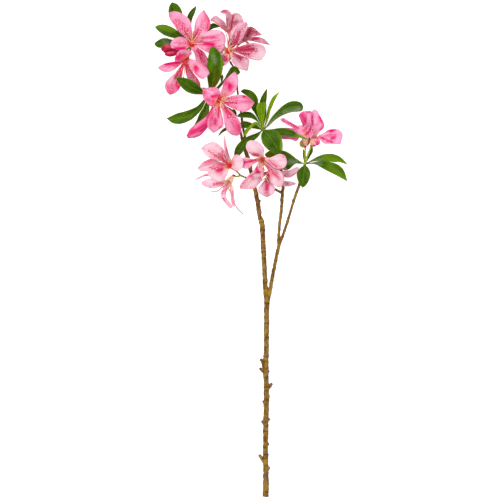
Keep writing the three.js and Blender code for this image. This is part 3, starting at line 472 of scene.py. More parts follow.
# An open flower's foot, its mouth and its lobes, each with a path and width as a leaf has.
FLOWERS = {
  "01": {"foot": [-88, 304, 35], "mouth": [-89, 308, 55],
    "lobes": [
      {"path": [[-97.5, 327, 61], [-106, 341.5, 63], [-119, 355.5, 60]], "width": 25.5, "outline": "blunt"},
      {"path": [[-80, 322, 60], [-73.5, 337, 63], [-70.5, 358, 60]], "width": 24},
      {"path": [[-70, 311.5, 60], [-54, 312.5, 59], [-38.5, 313, 53]], "width": 30},
      {"path": [[-80.5, 291, 48], [-76, 280, 44.5], [-70.5, 267, 41]], "width": 22},
      {"path": [[-104, 308.5, 59], [-112, 307.5, 60], [-121, 306, 57]], "width": 21, "outline": "round"},
    ]},
  "02": {"foot": [-92.5, 295.5, 34], "mouth": [-98, 285, 49.5],
    "lobes": [
      {"path": [[-101, 292.5, 57], [-103, 291.5, 64], [-105.5, 285, 69]], "width": 27,
        "side": [0.97, 0.22, 0], "outline": "round", "fold": -0.15},
      {"path": [[-115, 275.5, 51], [-127, 272.3, 50], [-139.5, 272, 45]], "width": 17},
      {"path": [[-111, 263, 49], [-116.5, 249, 45], [-121.5, 231.6, 37]], "width": 23},
      {"path": [[-92, 266, 42], [-87, 253, 36], [-81, 239, 30]], "width": 19},
      {"path": [[-83, 276, 54], [-75, 268.5, 56], [-64.5, 261.5, 55]], "width": 24, "outline": "round"},
    ]},
  "03": {"foot": [-31.3, 288.5, 35], "mouth": [-34, 298, 53],
    "lobes": [
      {"path": [[-26, 314, 61], [-18.5, 327, 62], [-9, 340, 58]], "width": 23},
      {"path": [[-12, 297.5, 60], [4, 296.3, 59], [22.3, 295, 53]], "width": 26},
      {"path": [[-20, 286, 53], [-13, 279, 50], [-6.5, 267.5, 44]], "width": 22},
      {"path": [[-39, 285, 52], [-40, 276, 48]], "width": 15, "roll": [20]},
      {"path": [[-47, 299.5, 46], [-57, 301, 41]], "width": 16},
    ]},
  "04": {"foot": [-31, 317, 26], "mouth": [-33, 329.5, 38], "glow": 0.2,
    "lobes": [
      {"path": [[-43, 335, 43], [-51, 341, 44], [-61, 343.5, 40]], "width": 17, "outline": "round"},
      {"path": [[-34.5, 346, 45], [-36, 355, 46], [-46.5, 356, 45]], "width": 11},
      {"path": [[-24, 344, 42], [-18, 354.5, 39]], "width": 19, "outline": "round"},
      {"path": [[-20, 333, 37], [-12, 338, 33]], "width": 14},
    ]},
  "05": {"foot": [-17.5, 308, 30], "mouth": [-9, 316, 40], "glow": 0.2,
    "lobes": [
      {"path": [[0, 324.5, 43], [6, 325.5, 43], [16.5, 321.8, 40]], "width": 15},
      {"path": [[8, 313.5, 41], [18, 312, 40], [28.3, 306.5, 37]], "width": 12, "roll": [30]},
      {"path": [[-9, 326, 38], [-8.5, 335, 35]], "width": 13},
      {"path": [[0, 308, 37], [9, 302, 34]], "width": 13},
    ]},
  "06": {"foot": [-57, 228, 40], "mouth": [-47.5, 223, 57],
    "lobes": [
      {"path": [[-59, 229, 62], [-66, 231.5, 61], [-72.6, 232, 57]], "width": 28, "outline": "round"},
      {"path": [[-34, 239.5, 64], [-31, 251, 64], [-24.5, 265.3, 60]], "width": 22, "outline": "round"},
      {"path": [[-25, 220.5, 63], [-10, 219.3, 62], [5, 219.7, 57]], "width": 25},
      {"path": [[-34.5, 203, 60], [-28.5, 188, 57], [-24, 169.3, 50]], "width": 25, "outline": "blunt"},
      {"path": [[-52.5, 204, 58], [-54.5, 189, 54], [-56.5, 174, 47]], "width": 23},
    ]},
  "07": {"foot": [-25, 119.5, 37], "mouth": [-33.5, 126, 53],
    "lobes": [
      {"path": [[-49, 140.5, 60], [-60, 148, 61], [-74, 151.5, 56]], "width": 26},
      {"path": [[-37.5, 148, 66], [-40, 170, 68]], "width": 13, "roll": [70]},
      {"path": [[-52, 128, 46], [-66, 125.5, 44], [-81.5, 119.4, 38]], "width": 16.5},
      {"path": [[-48, 119.5, 64], [-61.5, 116, 69]], "width": 35, "outline": "round"},
      {"path": [[-22, 129.5, 63], [-11.6, 130, 65]], "width": 23, "outline": "round"},
    ]},
  "08": {"foot": [-27.6, 108.8, 32.5], "mouth": [-35, 98, 43], "swell": 1.3, "glow": 0.1,
    "lobes": [
      {"path": [[-50, 106, 45], [-64, 110.5, 48], [-75, 108.5, 48], [-86.5, 104.3, 46]], "width": 10,
        "roll": [75]},
      {"path": [[-50, 97, 46], [-62, 99, 48], [-74.5, 99.5, 46]], "width": 14},
      {"path": [[-41.5, 84, 47], [-39, 72, 46], [-29.5, 61.6, 43]], "width": 11, "roll": [25]},
      {"path": [[-28.5, 84, 46], [-27.8, 74, 46], [-25.5, 63.5, 43]], "width": 8, "roll": [45]},
    ]},
  "09": {"foot": [24.5, 128, 38], "mouth": [15.6, 135, 55.5],
    "lobes": [
      {"path": [[9.5, 146, 61], [4, 154, 62], [-1, 162, 60]], "width": 23, "outline": "round"},
      {"path": [[1, 132, 59], [-8, 129, 57.5], [-19, 128, 54]], "width": 17},
      {"path": [[7, 117, 57], [0, 104.5, 54], [-7.2, 89, 47]], "roll": [-6], "width": 24,
        "outline": "flared"},
      {"path": [[30.5, 118.5, 60], [38, 108, 58], [43.5, 94, 52]], "width": 21},
      {"path": [[34, 133, 62], [44, 131, 62], [53.3, 131.3, 58]], "width": 22, "outline": "round"},
    ]},
  "10": {"foot": [33.5, 118, 33.5], "mouth": [25, 111, 46], "glow": 0.5,
    "lobes": [
      {"path": [[24, 97, 51], [23.7, 88, 50], [24, 78, 46]], "width": 25, "outline": "blunt"},
      {"path": [[45, 113, 44], [58, 113.3, 42], [71.3, 121.6, 40]], "width": 11, "roll": [25]},
      {"path": [[46, 100, 40], [56, 98, 38], [67.5, 98, 36]], "width": 10, "roll": [40]},
      {"path": [[14, 111.5, 65], [8, 111.2, 66.5], [2.6, 110.5, 63.5]], "width": 11},
    ]},
  "11": {"foot": [81.5, 155.5, 36], "mouth": [81.5, 172, 44.5], "swell": 1.5, "glow": 0.1,
    "lobes": [
      {"path": [[63, 184.5, 44], [45, 194.6, 42]], "width": 9, "roll": [50]},
      {"path": [[64, 171.5, 39], [53, 174, 35], [39, 178.5, 32]], "width": 17},
      {"path": [[77.5, 177, 51.5], [70, 182.5, 53]], "width": 19, "outline": "round"},
      {"path": [[82, 190, 51], [80.5, 206.3, 50]], "width": 19, "outline": "blunt"},
    ]},
  "12": {"foot": [91, 156, 34], "mouth": [96.5, 170, 42], "swell": 1.5, "glow": 0.1,
    "lobes": [
      {"path": [[100.5, 187, 44], [99.5, 198.5, 44], [94, 209.4, 42]], "width": 18, "outline": "round"},
      {"path": [[112, 170, 45], [125, 170.5, 44], [137.3, 170.5, 40]], "width": 23, "outline": "blunt"},
      {"path": [[91, 184, 37], [88, 194, 33]], "width": 15},
      {"path": [[99.5, 163, 46], [101, 157, 46]], "width": 12, "outline": "round"},
    ]},
}

# The two edges of a blade on the ground plan, from its foot to its tip, as X, Y, X, Y and so on. The second
# leaves out the tip. A lobe without edges keeps the width and outline of its own table.
LEAF_EDGES = {
  "leaf_top_rear":
    [(-89, 304.6, -100, 314, -110, 327, -118, 341, -123.4, 352, -124, 358.6, -122.6, 364.5, -118.6, 370.2),
     (-88.2, 304.8, -94, 318, -99.5, 334, -102, 349, -103.8, 357.5, -106.8, 363.2, -111, 367.6)],
  "leaf_top_small":
    [(-88.8, 304.8, -93, 320, -96.6, 336, -96.4, 346, -94.2, 352.4, -91, 357.4, -87.5, 361, -82.4, 364.8),
     (-88.2, 304.8, -88, 320, -89.6, 336, -88.8, 343, -86.4, 349.4, -84, 354.8, -82.6, 359.8)],
  "leaf_top_left":
    [(-90.5, 303.4, -95, 311, -103.6, 320.6, -109, 326, -115, 330.8, -123.2, 335, -131.5, 336.8,
      -138.8, 336, -144.3, 333.2),
     (-90.6, 302.8, -97, 307.5, -104.5, 312.4, -111, 315.3, -118.1, 316.9, -125.3, 318.8, -131.5, 321.4,
      -137, 325.2, -141, 329.2)],
  "leaf_top_low":
    [(-90.8, 302.4, -98, 306.5, -110, 311.5, -120.6, 314.6, -127, 316.4, -133, 316.2, -138, 314,
      -142.2, 311, -145.3, 307.6),
     (-90.8, 301.8, -98, 302, -108, 300.6, -118, 300, -127, 300.6, -134, 301.4, -139.5, 302.4, -143, 304.8)],
  "leaf_left_upright":
    [(-62.9, 233.3, -63.8, 239, -64, 245, -65, 251.4, -66, 260, -66, 270.3, -65.6, 278.9, -64.2, 288,
      -62.4, 297, -59.6, 302.4, -57.8, 304),
     (-62.3, 233.3, -57, 238.5, -51, 246.5, -47.7, 252.4, -45, 258.2, -43, 266.5, -42, 275.8, -42.8, 284.1,
      -46, 293.4, -51, 300)],
  "leaf_left_out":
    [(-65.4, 231.9, -70, 236, -73.4, 240.4, -77.5, 245, -82, 249, -87, 252.2, -92.5, 254.8, -98.6, 256.6,
      -105, 257.3, -112.4, 256.8),
     (-65.4, 231.2, -71, 231.4, -77.1, 231.8, -84, 232, -90.8, 233.5, -96.8, 236, -102, 240, -107.1, 246,
      -110.3, 252)],
  "leaf_left_down":
    [(-65.2, 229.8, -70, 225, -75, 219.8, -80.6, 214.4, -87.4, 211, -95.1, 208, -102.8, 205.8,
      -110.5, 203.9, -118.3, 200.2, -126.5, 196),
     (-64.8, 229.4, -68.5, 220, -72.3, 212, -77, 205.4, -83.1, 199, -89.1, 194, -96, 190.6, -102.8, 188,
      -110.5, 187.4, -117.6, 188.7, -122.4, 192)],
  "leaf_left_low":
    [(-64, 229, -68.6, 218.5, -72, 211.6, -76.6, 204.8, -79.6, 198.5, -81.6, 193, -84.2, 187.8,
      -86.6, 182.4),
     (-63.6, 229, -62.4, 220.5, -62.4, 213, -62.9, 205.5, -66.2, 198, -71.4, 191.6, -78, 187)],
  "leaf_mid_right":
    [(20, 180.4, 23, 184.4, 26, 189.8, 29.6, 195.8, 34, 201.4, 39, 207, 44.9, 212.9, 50.7, 217.4,
      57, 220.8, 64, 222.3, 71, 221.4, 76, 218.5, 78.6, 213),
     (20.4, 180, 26, 184, 31, 188.5, 35, 192.2, 41, 196.6, 47, 200, 54, 203, 62, 205, 70, 205.8,
      76.4, 207.2)],
  "leaf_mid_left_high":
    [(16.9, 180.2, 13, 188, 9.9, 194.2, 5.5, 200.6, 1.2, 204.2, -3.9, 205.8, -11.2, 205.6, -17.1, 203,
      -21.6, 199.2),
     (16.5, 179.8, 13.4, 186.6, 9.9, 190.6, 6.3, 193.4, 1.2, 196, -6.1, 197, -13.4, 197.2, -18, 198)],
  "leaf_mid_left":
    [(16.3, 179.3, 12.4, 183, 7, 186.3, 1.2, 188.6, -6.1, 191.2, -13.4, 191.2, -18.4, 186),
     (16.3, 178.8, 8.5, 180, 1.2, 181.1, -6.1, 181.5, -13.6, 181.3)],
  "leaf_mid_young_broad":
    [(17.5, 181, 15.2, 188, 13.2, 194, 10.4, 201, 8.5, 208.6, 8.3, 214, 10.6, 218.3, 15.6, 219.3),
     (18.5, 181, 19, 188, 19.8, 195.9, 20.9, 204, 22, 211, 22.9, 215.6, 21.4, 218.8)],
  "leaf_mid_young_curl":
    [(16.8, 180.5, 12.4, 187, 8, 190.6, 4.4, 189.8, -2.2, 184.4, -7.6, 179.8, -11.2, 174.4, -11.2, 169.6),
     (16.6, 180, 11.6, 184.2, 7, 186, 3, 184, -0.3, 180.2, -4.4, 175.6, -7, 171.6)],
  "leaf_mid_low":
    [(16.4, 177.8, 7, 173.4, -2.5, 169.8, -10.5, 165.9, -17.2, 160, -21.8, 154.6, -24.6, 148.6, -25.4, 142,
      -24.2, 133.6),
     (16.6, 177.3, 11, 168.8, 3.8, 162.4, -3.2, 159.6, -6.4, 155.2, -9.8, 148.6, -15.6, 141.8,
      -20.4, 136.6)],
  "leaf_mid_front":
    [(18.6, 176.2, 16, 173.4, 15.2, 167.5, 17.2, 159, 22.2, 152, 29, 146, 36, 142.4, 43.6, 141.2),
     (19.8, 176.3, 29, 179, 38, 177.4, 44, 171.4, 47, 162, 47.4, 152, 46, 145)],
  "leaf_right_broad":
    [(78.6, 129, 72.9, 132.4, 66.7, 136.6, 60.5, 141.5, 54.3, 145.5, 48, 147.6, 40.2, 148.8, 30.4, 148.2,
      24.2, 145.3, 20.6, 141.8),
     (78.6, 128.4, 73.5, 127.6, 68.5, 128.2, 64.1, 126.2, 60.5, 122.6, 56.1, 119.2, 51, 118.4, 43, 121,
      34, 127.4, 27, 134.6, 23, 138.2)],
  "leaf_right_high":
    [(83.2, 128.9, 91.5, 134, 99.5, 138.5, 106.5, 141.3, 114.5, 142.8, 122.5, 142.6, 129.8, 140.5,
      136, 136.6, 141, 131.4, 144.4, 126.8),
     (83.3, 128.5, 93, 131, 102, 132, 110.1, 131.7, 117.2, 131.2, 124.2, 130.4, 132.2, 130.4, 138, 129)],
  "leaf_right_low":
    [(83.3, 128.3, 93.3, 130, 102.1, 131.9, 111, 131.9, 118, 131, 124.4, 129.2, 131.5, 126, 137, 121.4,
      140.6, 115, 142.6, 108.5, 144.2, 101.6),
     (83.3, 127.8, 90, 127.6, 97.7, 126.4, 103, 123.4, 109.2, 119.9, 116.3, 116.3, 123.4, 112.8,
      130.4, 109.2, 137, 105.6)],
  "leaf_right_down":
    [(80.7, 125.7, 75, 122.6, 70.2, 117.2, 68.4, 110.8, 70, 103.4, 72.6, 98, 75, 94.6, 77.3, 92),
     (81.4, 125.7, 84.8, 123, 87.9, 118.4, 89.1, 113, 88.4, 107, 85.7, 100.6, 82, 95.3)],
  "leaf_top_right":
    [(-87, 304, -80, 316, -72, 326, -66, 333, -60.7, 337.4, -56.3, 338.9, -51.1, 336.8, -47, 333),
     (-86.6, 303.4, -78, 312, -70, 320, -64.4, 325.5, -59.2, 329.3, -53.3, 331.5)],
  "leaf_mid_tailed":
    [(21.2, 178.8, 32.5, 180, 37.6, 180.8, 44.9, 181.8, 52.1, 181.4, 59.4, 179.4, 65.3, 176.6, 68.9, 172.9,
      73, 170.6, 79, 168.1, 86, 164.6),
     (21.2, 178.2, 32, 175, 42, 172.6, 44.9, 171, 49.2, 169.6, 55.1, 169, 60.9, 168.2, 66.7, 168.1,
      73, 167.2, 79, 165.3)],
  "leaf_mid_young_narrow":
    [(19.5, 181.6, 21.6, 190.9, 22.6, 198.1, 24.2, 205.4, 25.4, 211.3, 27.2, 216.8, 29.5, 222.5, 33, 228.6,
      43, 236.4),
     (20.6, 181.2, 22.8, 187.2, 25.8, 194.5, 27.6, 201.1, 28.9, 206.9, 31.6, 212.7, 34, 219, 38, 226.5)],
  "leaf_mid_curled":
    [(17.8, 181, 13.8, 194.5, 11.6, 202, 10.8, 211, 10.8, 220, 10, 226.9, 6, 233.2, 1.1, 237.3, -6, 239.5,
      -12, 239.4, -15.4, 236.4),
     (17.2, 181, 9.9, 196, 7, 201.1, 3.8, 206.4, 0.8, 210.5, 0.2, 215, 2.2, 219.8, -0.8, 224.3,
      -4.6, 228.4, -9.5, 231.8)],
  "bract_left":
    [(79.9, 130.1, 78.4, 136, 77.8, 143, 78.4, 150.4),
     (80.3, 130.2, 81.6, 136, 81.8, 143)],
  "bract_right":
    [(82.3, 130, 83.5, 138, 86.2, 146.9, 92.6, 153.2),
     (82.5, 129.8, 85.5, 133.5, 89.1, 139.6, 92.6, 146.1)],
}
LOBE_EDGES = {
  "01": [
    [(-91, 308, -100, 319, -107, 325, -114, 334, -120.6, 342.5, -123.5, 350, -122.3, 355),
     (-88.5, 311, -88.7, 320, -89, 331, -90.2, 339, -93.2, 345.2, -99.4, 350.6, -106, 354.5, -114, 356.8)],
    [(-87, 311, -87, 318, -85.5, 326.5, -84.6, 334.8, -82.9, 343, -78.7, 351.4, -73.8, 356, -70.2, 359),
     (-84, 309.5, -80, 313, -74, 319.5, -68, 324.8, -63.2, 329.6, -60.9, 335.8, -61.3, 343, -64.2, 349.3,
      -68, 354.5)],
    [(-83, 310, -78.7, 316.2, -70.4, 323.4, -64.2, 327, -57, 328.8, -48.7, 328.6, -42.5, 325.5, -39, 320,
      -38, 313),
     (-84, 305.5, -77.7, 301.5, -70.4, 297.5, -63, 294, -55, 293.5, -48, 294.5, -42.5, 299, -39.4, 305.8)],
    [(-83, 303.5, -76, 299.5, -70.4, 295, -66.5, 288.2, -65.5, 281, -65.5, 274, -67, 267),
     (-88, 303, -84.5, 292, -83, 283, -79, 276.5, -73.5, 271)],
    [(-91.5, 309, -96.3, 315, -103.6, 318.2, -110.8, 317.7, -117, 314, -121, 307.5),
     (-90.5, 304.5, -97, 300, -105.6, 297.8, -113.9, 299.2, -119.1, 302.4)],
  ],
  "02": [
    [(-99, 285, -104, 281, -111, 279.8, -115, 284, -113, 289.5, -110.5, 294.5, -107, 297.5),
     (-94, 287, -91, 290, -88.8, 294, -91, 297.5, -96.5, 299, -102, 299)],
    [(-101, 282.5, -110.8, 281.8, -119, 280.6, -129.4, 278.4, -136.7, 275, -140, 271.5),
     (-101, 279, -107.5, 274.6, -114, 269.4, -121.2, 265.6, -128.4, 265, -134.6, 267.3)],
    [(-100.5, 279, -109, 269, -117.5, 261, -123, 256, -128.4, 249, -129, 242, -126.5, 235.5, -121.7, 231),
     (-98.5, 278, -102, 267, -103.5, 256, -105, 246, -108.5, 238.5, -114.5, 233.5)],
    [(-98.5, 278, -98.6, 268, -96, 258, -91.5, 250, -86, 243, -77.5, 239.5),
     (-96.3, 279, -91, 270.6, -85, 262.3, -79, 254, -75.8, 246.5)],
    [(-94, 283, -88, 284, -80, 281.5, -72.5, 277, -66, 271.5, -62, 263.5),
     (-94.5, 279, -89.5, 268.8, -83.2, 262, -77.7, 257, -72, 255.2, -66.3, 258.6)],
  ],
  "03": [
    [(-34, 301, -34.4, 307.7, -33.3, 316, -31.8, 323.3, -29.5, 328.8, -26.6, 333.7, -21.4, 338, -14, 341,
      -7, 340.2),
     (-28.8, 299.5, -24.4, 302.8, -19.9, 307.3, -14, 313, -10.8, 319, -7.6, 326.3, -5, 332.2, -4.4, 336.7)],
    [(-28.8, 299.6, -21.4, 302.6, -14, 305.3, -6.5, 307.6, 1, 309, 8.3, 308.7, 15.7, 306.6, 20.4, 303,
      22.4, 297.5),
     (-28.8, 296.6, -24.4, 294.8, -17.7, 292.5, -9.5, 289, -3.6, 285.8, 2.4, 283.8, 8.3, 282.8, 14.5, 283,
      19, 287.5, 21.8, 292.5)],
    [(-28, 295.9, -19, 292, -10.2, 288.8, -3.6, 284.9, -2.2, 279.8, -3.4, 273.5, -5.6, 267),
     (-30.7, 293.4, -30.3, 288.5, -29.6, 284, -27.3, 279, -22.9, 274, -17.7, 270.4, -11, 268.3)],
    [(-37.5, 295.5, -41.8, 294, -45, 291.5, -45.6, 287.5, -44.5, 282.5, -43, 277.8, -41.6, 274.4),
     (-34, 292.5, -32.6, 288, -33, 282.4, -35.6, 277.4)],
    None,
  ],
  "04": [
    [(-37, 328.5, -37.2, 335, -39, 340.5, -43, 344, -46.6, 346.5, -50.3, 349.3, -54.2, 350, -58.2, 347.3,
      -61, 342.8),
     (-40, 326, -44.5, 330.5, -47.4, 333.7, -51, 337.4, -55.5, 339.9)],
    [(-35.5, 330, -37.3, 338, -38.3, 346, -38.9, 351.3, -42.5, 352.8, -47, 355.3),
     (-32, 331, -30.3, 339.7, -28.6, 347, -28.9, 353, -32, 357, -36.7, 359.4, -42, 359)],
    [(-31, 331.5, -30.5, 338, -29.8, 344, -29.3, 350.5, -26.5, 353.6, -20.5, 354.2),
     (-28, 330.5, -22, 333, -16, 336, -11.2, 340.5, -12.2, 345, -14, 349.6, -17, 352.8)],
    None,
  ],
  "05": [
    [(-8.8, 317.5, -7, 325, -4.5, 331, -2.5, 333.8, 1.5, 333.4, 6, 330.8, 10.2, 327.2, 16.8, 320.7),
     (-6.8, 314.4, -2.5, 316.8, 2, 318.5, 7, 319.4, 12, 320)],
    [(-8, 314.6, -2.8, 317, 4.6, 318.5, 12, 318, 18, 316.2, 23.2, 312.4, 28.6, 306.2),
     (-9, 311, -3, 312, 2, 311.6, 8.3, 310.2, 15.7, 308.4, 22.4, 306.8)],
    None,
    [(-5, 309, 0, 307, 4, 304, 7, 300),
     (-7, 306, -3, 302, 1, 299)],
  ],
  "06": [
    [(-48.5, 227.5, -46.6, 232, -46.8, 237.5, -51, 241.8, -56, 243, -61.6, 242.4, -67.3, 241.2,
      -71.8, 239.6, -72.4, 233.5),
     (-51, 221.5, -52.7, 218, -55.2, 214.8, -58.6, 213.6, -63.5, 216.3, -68.2, 221, -71.6, 226.4)],
    [(-46.6, 227.5, -45.6, 235, -43.2, 241, -42, 247.5, -39, 253.2, -33.4, 258.8, -28.5, 263, -24.4, 266),
     (-43.7, 226.2, -38.8, 228.2, -32, 230, -26.3, 233.2, -22.2, 238.4, -20.5, 243.5, -19, 249.2,
      -19, 255.7, -21, 261.4)],
    [(-43.7, 225.3, -37.2, 227.8, -30.7, 229.2, -24.2, 230.7, -17.7, 231.6, -12, 231.2, -6.3, 229.4,
      -1.2, 226, 5, 219.4),
     (-43.7, 219.8, -38, 215.8, -32.3, 213, -25.8, 209.6, -19.3, 207.2, -12.8, 206, -7, 206.9, -0.4, 210.6)],
    [(-43.4, 219.2, -37.2, 213.6, -30.7, 208.6, -25.6, 203.6, -21.5, 198.7, -17.5, 193, -14.9, 186.4,
      -14.5, 179.9, -15.8, 174, -20, 170),
     (-47, 216.5, -43.7, 208.4, -42.1, 201.9, -41, 194.6, -39.8, 187.3, -38.2, 182.2, -35.8, 177.2,
      -31.6, 173, -26, 170.6)],
    [(-47.8, 216.6, -45.4, 210, -43.7, 201.9, -42, 193.8, -41.2, 188.1, -42, 183.8, -46.5, 180.2, -51, 177,
      -56.4, 173.8),
     (-51.5, 219.5, -55.1, 215, -58.4, 209.6, -61.2, 204, -63.6, 198.7, -65.2, 193, -65.9, 187.3,
      -65.2, 182.2, -61.8, 178.8)],
  ],
  "07": [
    [(-32, 129, -35.4, 137, -38.2, 145.3, -42, 151, -46.7, 155.8, -52.4, 159.5, -59, 160.5, -65.6, 158.2,
      -71.2, 155, -75, 151),
     (-33.5, 126.5, -38.2, 128.6, -44.8, 131.2, -52.4, 133.2, -59.9, 135, -65, 138, -69.8, 142.1,
      -72.6, 146.8)],
    [(-33.5, 129, -35.8, 137.4, -39, 146.8, -40.9, 159.1, -40.2, 170),
     (-29.6, 128.5, -29.6, 133.6, -31.8, 138.5, -34.4, 146, -36.4, 154, -38, 162)],
    [(-38, 127.5, -47, 131, -56, 134.5, -63, 134.8, -69.5, 132, -75, 128, -80.2, 121),
     (-38.5, 124, -49, 121, -57, 118.3, -64, 116.6, -71, 116.3, -76.2, 117.6)],
    [(-34.5, 125, -41, 127.2, -47.6, 128.2, -54.2, 126.4, -60.8, 122.6, -64.8, 118, -65, 112.6, -62.5, 109),
     (-33, 121, -34.4, 115, -37, 108.5, -41, 103, -46.7, 101, -52.4, 102, -58.5, 105)],
    [(-29.5, 129, -29.2, 133.6, -26.9, 138.5, -23.1, 141.5, -17.5, 141, -14, 137.4, -11.4, 130.5),
     (-30, 124.5, -27.4, 122, -25, 118.8, -21, 117, -16.3, 118.8, -12.5, 123.8)],
  ],
  "08": [
    [(-38, 102.6, -47.6, 108.3, -56, 112.2, -63.7, 113, -68.4, 112.8, -73.1, 110.6, -79.7, 107.2,
      -87, 103.8),
     (-38, 100.6, -48, 104.4, -57, 107.4, -63.5, 109, -67.5, 109.2, -73.1, 107.3, -79.7, 104.2)],
    [(-38, 101, -45, 104.4, -55, 105.6, -63, 105.6, -68.6, 104.6, -73, 101.6, -74.6, 98),
     (-38, 96.6, -43, 94.6, -49.5, 92.4, -56, 90.8, -63.7, 91.6, -70.3, 93.8)],
    [(-38.5, 95.5, -42.9, 89.2, -45.5, 83.6, -45.5, 77.9, -42.2, 73.5, -39.4, 69, -35.6, 64.5, -30, 60.6),
     (-32.5, 94.9, -34.8, 90.2, -37.2, 84.5, -37.5, 78.4, -34.6, 73, -30.2, 68.4, -27.4, 64.4)],
    [(-31.5, 95.5, -31, 87.4, -30.8, 78.9, -29.8, 71.3, -27.4, 65.5, -24.6, 62),
     (-27.5, 96.5, -26, 90, -25.3, 84, -25.2, 76, -24, 69)],
  ],
  "09": [
    [(13.2, 136.7, 8.8, 137.8, 3.7, 139, -0.9, 142, -4.7, 146.1, -7.3, 150.5, -7.4, 155.4, -5.6, 160,
      -1.5, 163),
     (18.2, 138, 19.4, 142, 20, 146.3, 19, 150.8, 16.3, 155.3, 12.6, 159, 8, 161.4, 3, 162.8)],
    [(13, 135.6, 8.1, 135.6, 2.3, 135, -3.6, 136.3, -9.4, 137.4, -14, 135.6, -19, 128.5),
     (12.5, 132, 7.4, 129.2, 1.5, 125.3, -2.3, 121.8, -7.2, 120.2, -13, 122)],
    [(13.9, 131.6, 10, 126.5, 5, 119.2, 0.1, 114.1, -5, 109.7, -9.6, 104.6, -14, 99.4, -17.2, 93.6,
      -15.8, 90.2, -6, 89.6),
     (16.5, 130.1, 17.6, 124.3, 18.6, 117, 18.8, 110.5, 17, 104.5, 13.4, 99, 9.3, 95, 4.6, 91)],
    [(21.4, 131, 22.4, 124.3, 25.2, 117.7, 28.1, 110.4, 29, 105, 30.5, 100.5, 34.3, 96, 38.4, 93.6,
      43, 92.8),
     (25, 131.2, 31.4, 126, 36.5, 121.7, 41.6, 118.8, 46.2, 115.8, 49.2, 110.6, 50, 106, 49.2, 100,
      47, 95.4)],
    [(20.6, 134, 25.6, 135.6, 30.7, 137.8, 36.5, 140.4, 42.3, 142.6, 47.6, 142, 51.5, 139.2, 53.5, 132.5),
     (21.8, 131.5, 26.3, 129.7, 31.4, 126.1, 36.5, 122.4, 40.9, 119.5, 46.2, 119.4, 51.3, 123.2,
      53.4, 127.9)],
  ],
  "10": [
    [(22, 109.7, 19.2, 102.4, 15.4, 97.6, 11.8, 92.9, 10.6, 88.6, 11.8, 84.5, 15.8, 81.6, 19.8, 79.2,
      23.8, 77.4),
     (28, 109.7, 29.4, 105, 30.4, 100.2, 33.3, 96.6, 35.8, 92.2, 35.8, 87, 32.5, 81.8, 28, 79.2)],
    [(30, 112.5, 38, 115.8, 46, 116.7, 51.8, 118, 57.7, 118.4, 63.5, 120.6, 68, 122.6, 72, 122),
     (30, 109, 37, 107.6, 43, 107.8, 49, 108, 54.7, 107.2, 59.8, 107.6, 65, 111, 69.5, 115.3)],
    [(30, 108, 40, 104, 47.4, 102.8, 52.6, 102, 59.8, 101.2, 65, 99.8, 68, 97.6),
     (30, 105, 38, 99.5, 44.5, 96.2, 49.6, 94, 56.2, 94, 62.8, 95.6)],
    [(21, 113.5, 16, 116.2, 10.8, 116.2, 6, 114, 2.6, 110),
     (21, 110, 16, 106.4, 10.3, 105.6, 5.2, 106.4)],
  ],
  "11": [
    [(77.5, 177, 72.5, 182.6, 69.3, 184.8, 64.8, 187.1, 58.8, 190.9, 52.7, 194.3, 48.2, 196.6, 44, 195.2),
     (77, 171, 72.6, 173.5, 68.6, 176.4, 64, 180, 60.5, 183, 55, 185.9, 48.9, 189.5, 45, 192)],
    [(76, 175, 66, 180, 56, 181.8, 47, 181.8, 41, 180.4, 38.2, 177),
     (76, 167.5, 71, 162.6, 66.5, 161.4, 61, 164, 54, 164.4, 47.4, 164.8, 42.8, 169.6)],
    [(77.5, 169.5, 72.5, 171.5, 70, 177, 69.6, 182, 71.4, 185.4, 75.5, 185.8),
     (84, 166, 91.5, 167.5, 93.6, 174, 90, 180.5, 82.5, 184.5)],
    [(78.4, 177, 78.4, 183.7, 76.2, 188.4, 74.8, 191.6, 73.4, 195.8, 71.6, 199.8, 73, 203.2, 77, 206,
      82, 207),
     (87.5, 177.5, 89.2, 183.7, 90.4, 190.5, 90.9, 196.5, 91.6, 202.4, 90.6, 206.4, 86.5, 207.4)],
  ],
  "12": [
    [(91.5, 168, 91, 179.9, 90.8, 185.4, 90, 191.2, 90.2, 198.8, 91, 205.4, 94.4, 209.6),
     (99.5, 171.6, 101.6, 175.4, 105.6, 178, 109, 181.2, 110, 185.6, 109, 190, 106.6, 194.6, 103.8, 199.8,
      101, 205.2, 98, 208.4)],
    [(100, 169.6, 105.7, 172, 111.7, 175.8, 116.2, 178.8, 121.5, 180, 126.8, 180, 131.6, 178.8,
      135.5, 175.8, 137.8, 170.5),
     (100.5, 164.6, 104.1, 160.8, 109.4, 158, 115.5, 157.8, 122.3, 157.8, 129.1, 157.2, 134.2, 157.8,
      136, 163)],
    None,
    [(90, 167, 88.6, 161, 92.4, 157, 99.8, 155.4),
     (101.5, 166, 104, 161, 103, 157.4)],
  ],
}
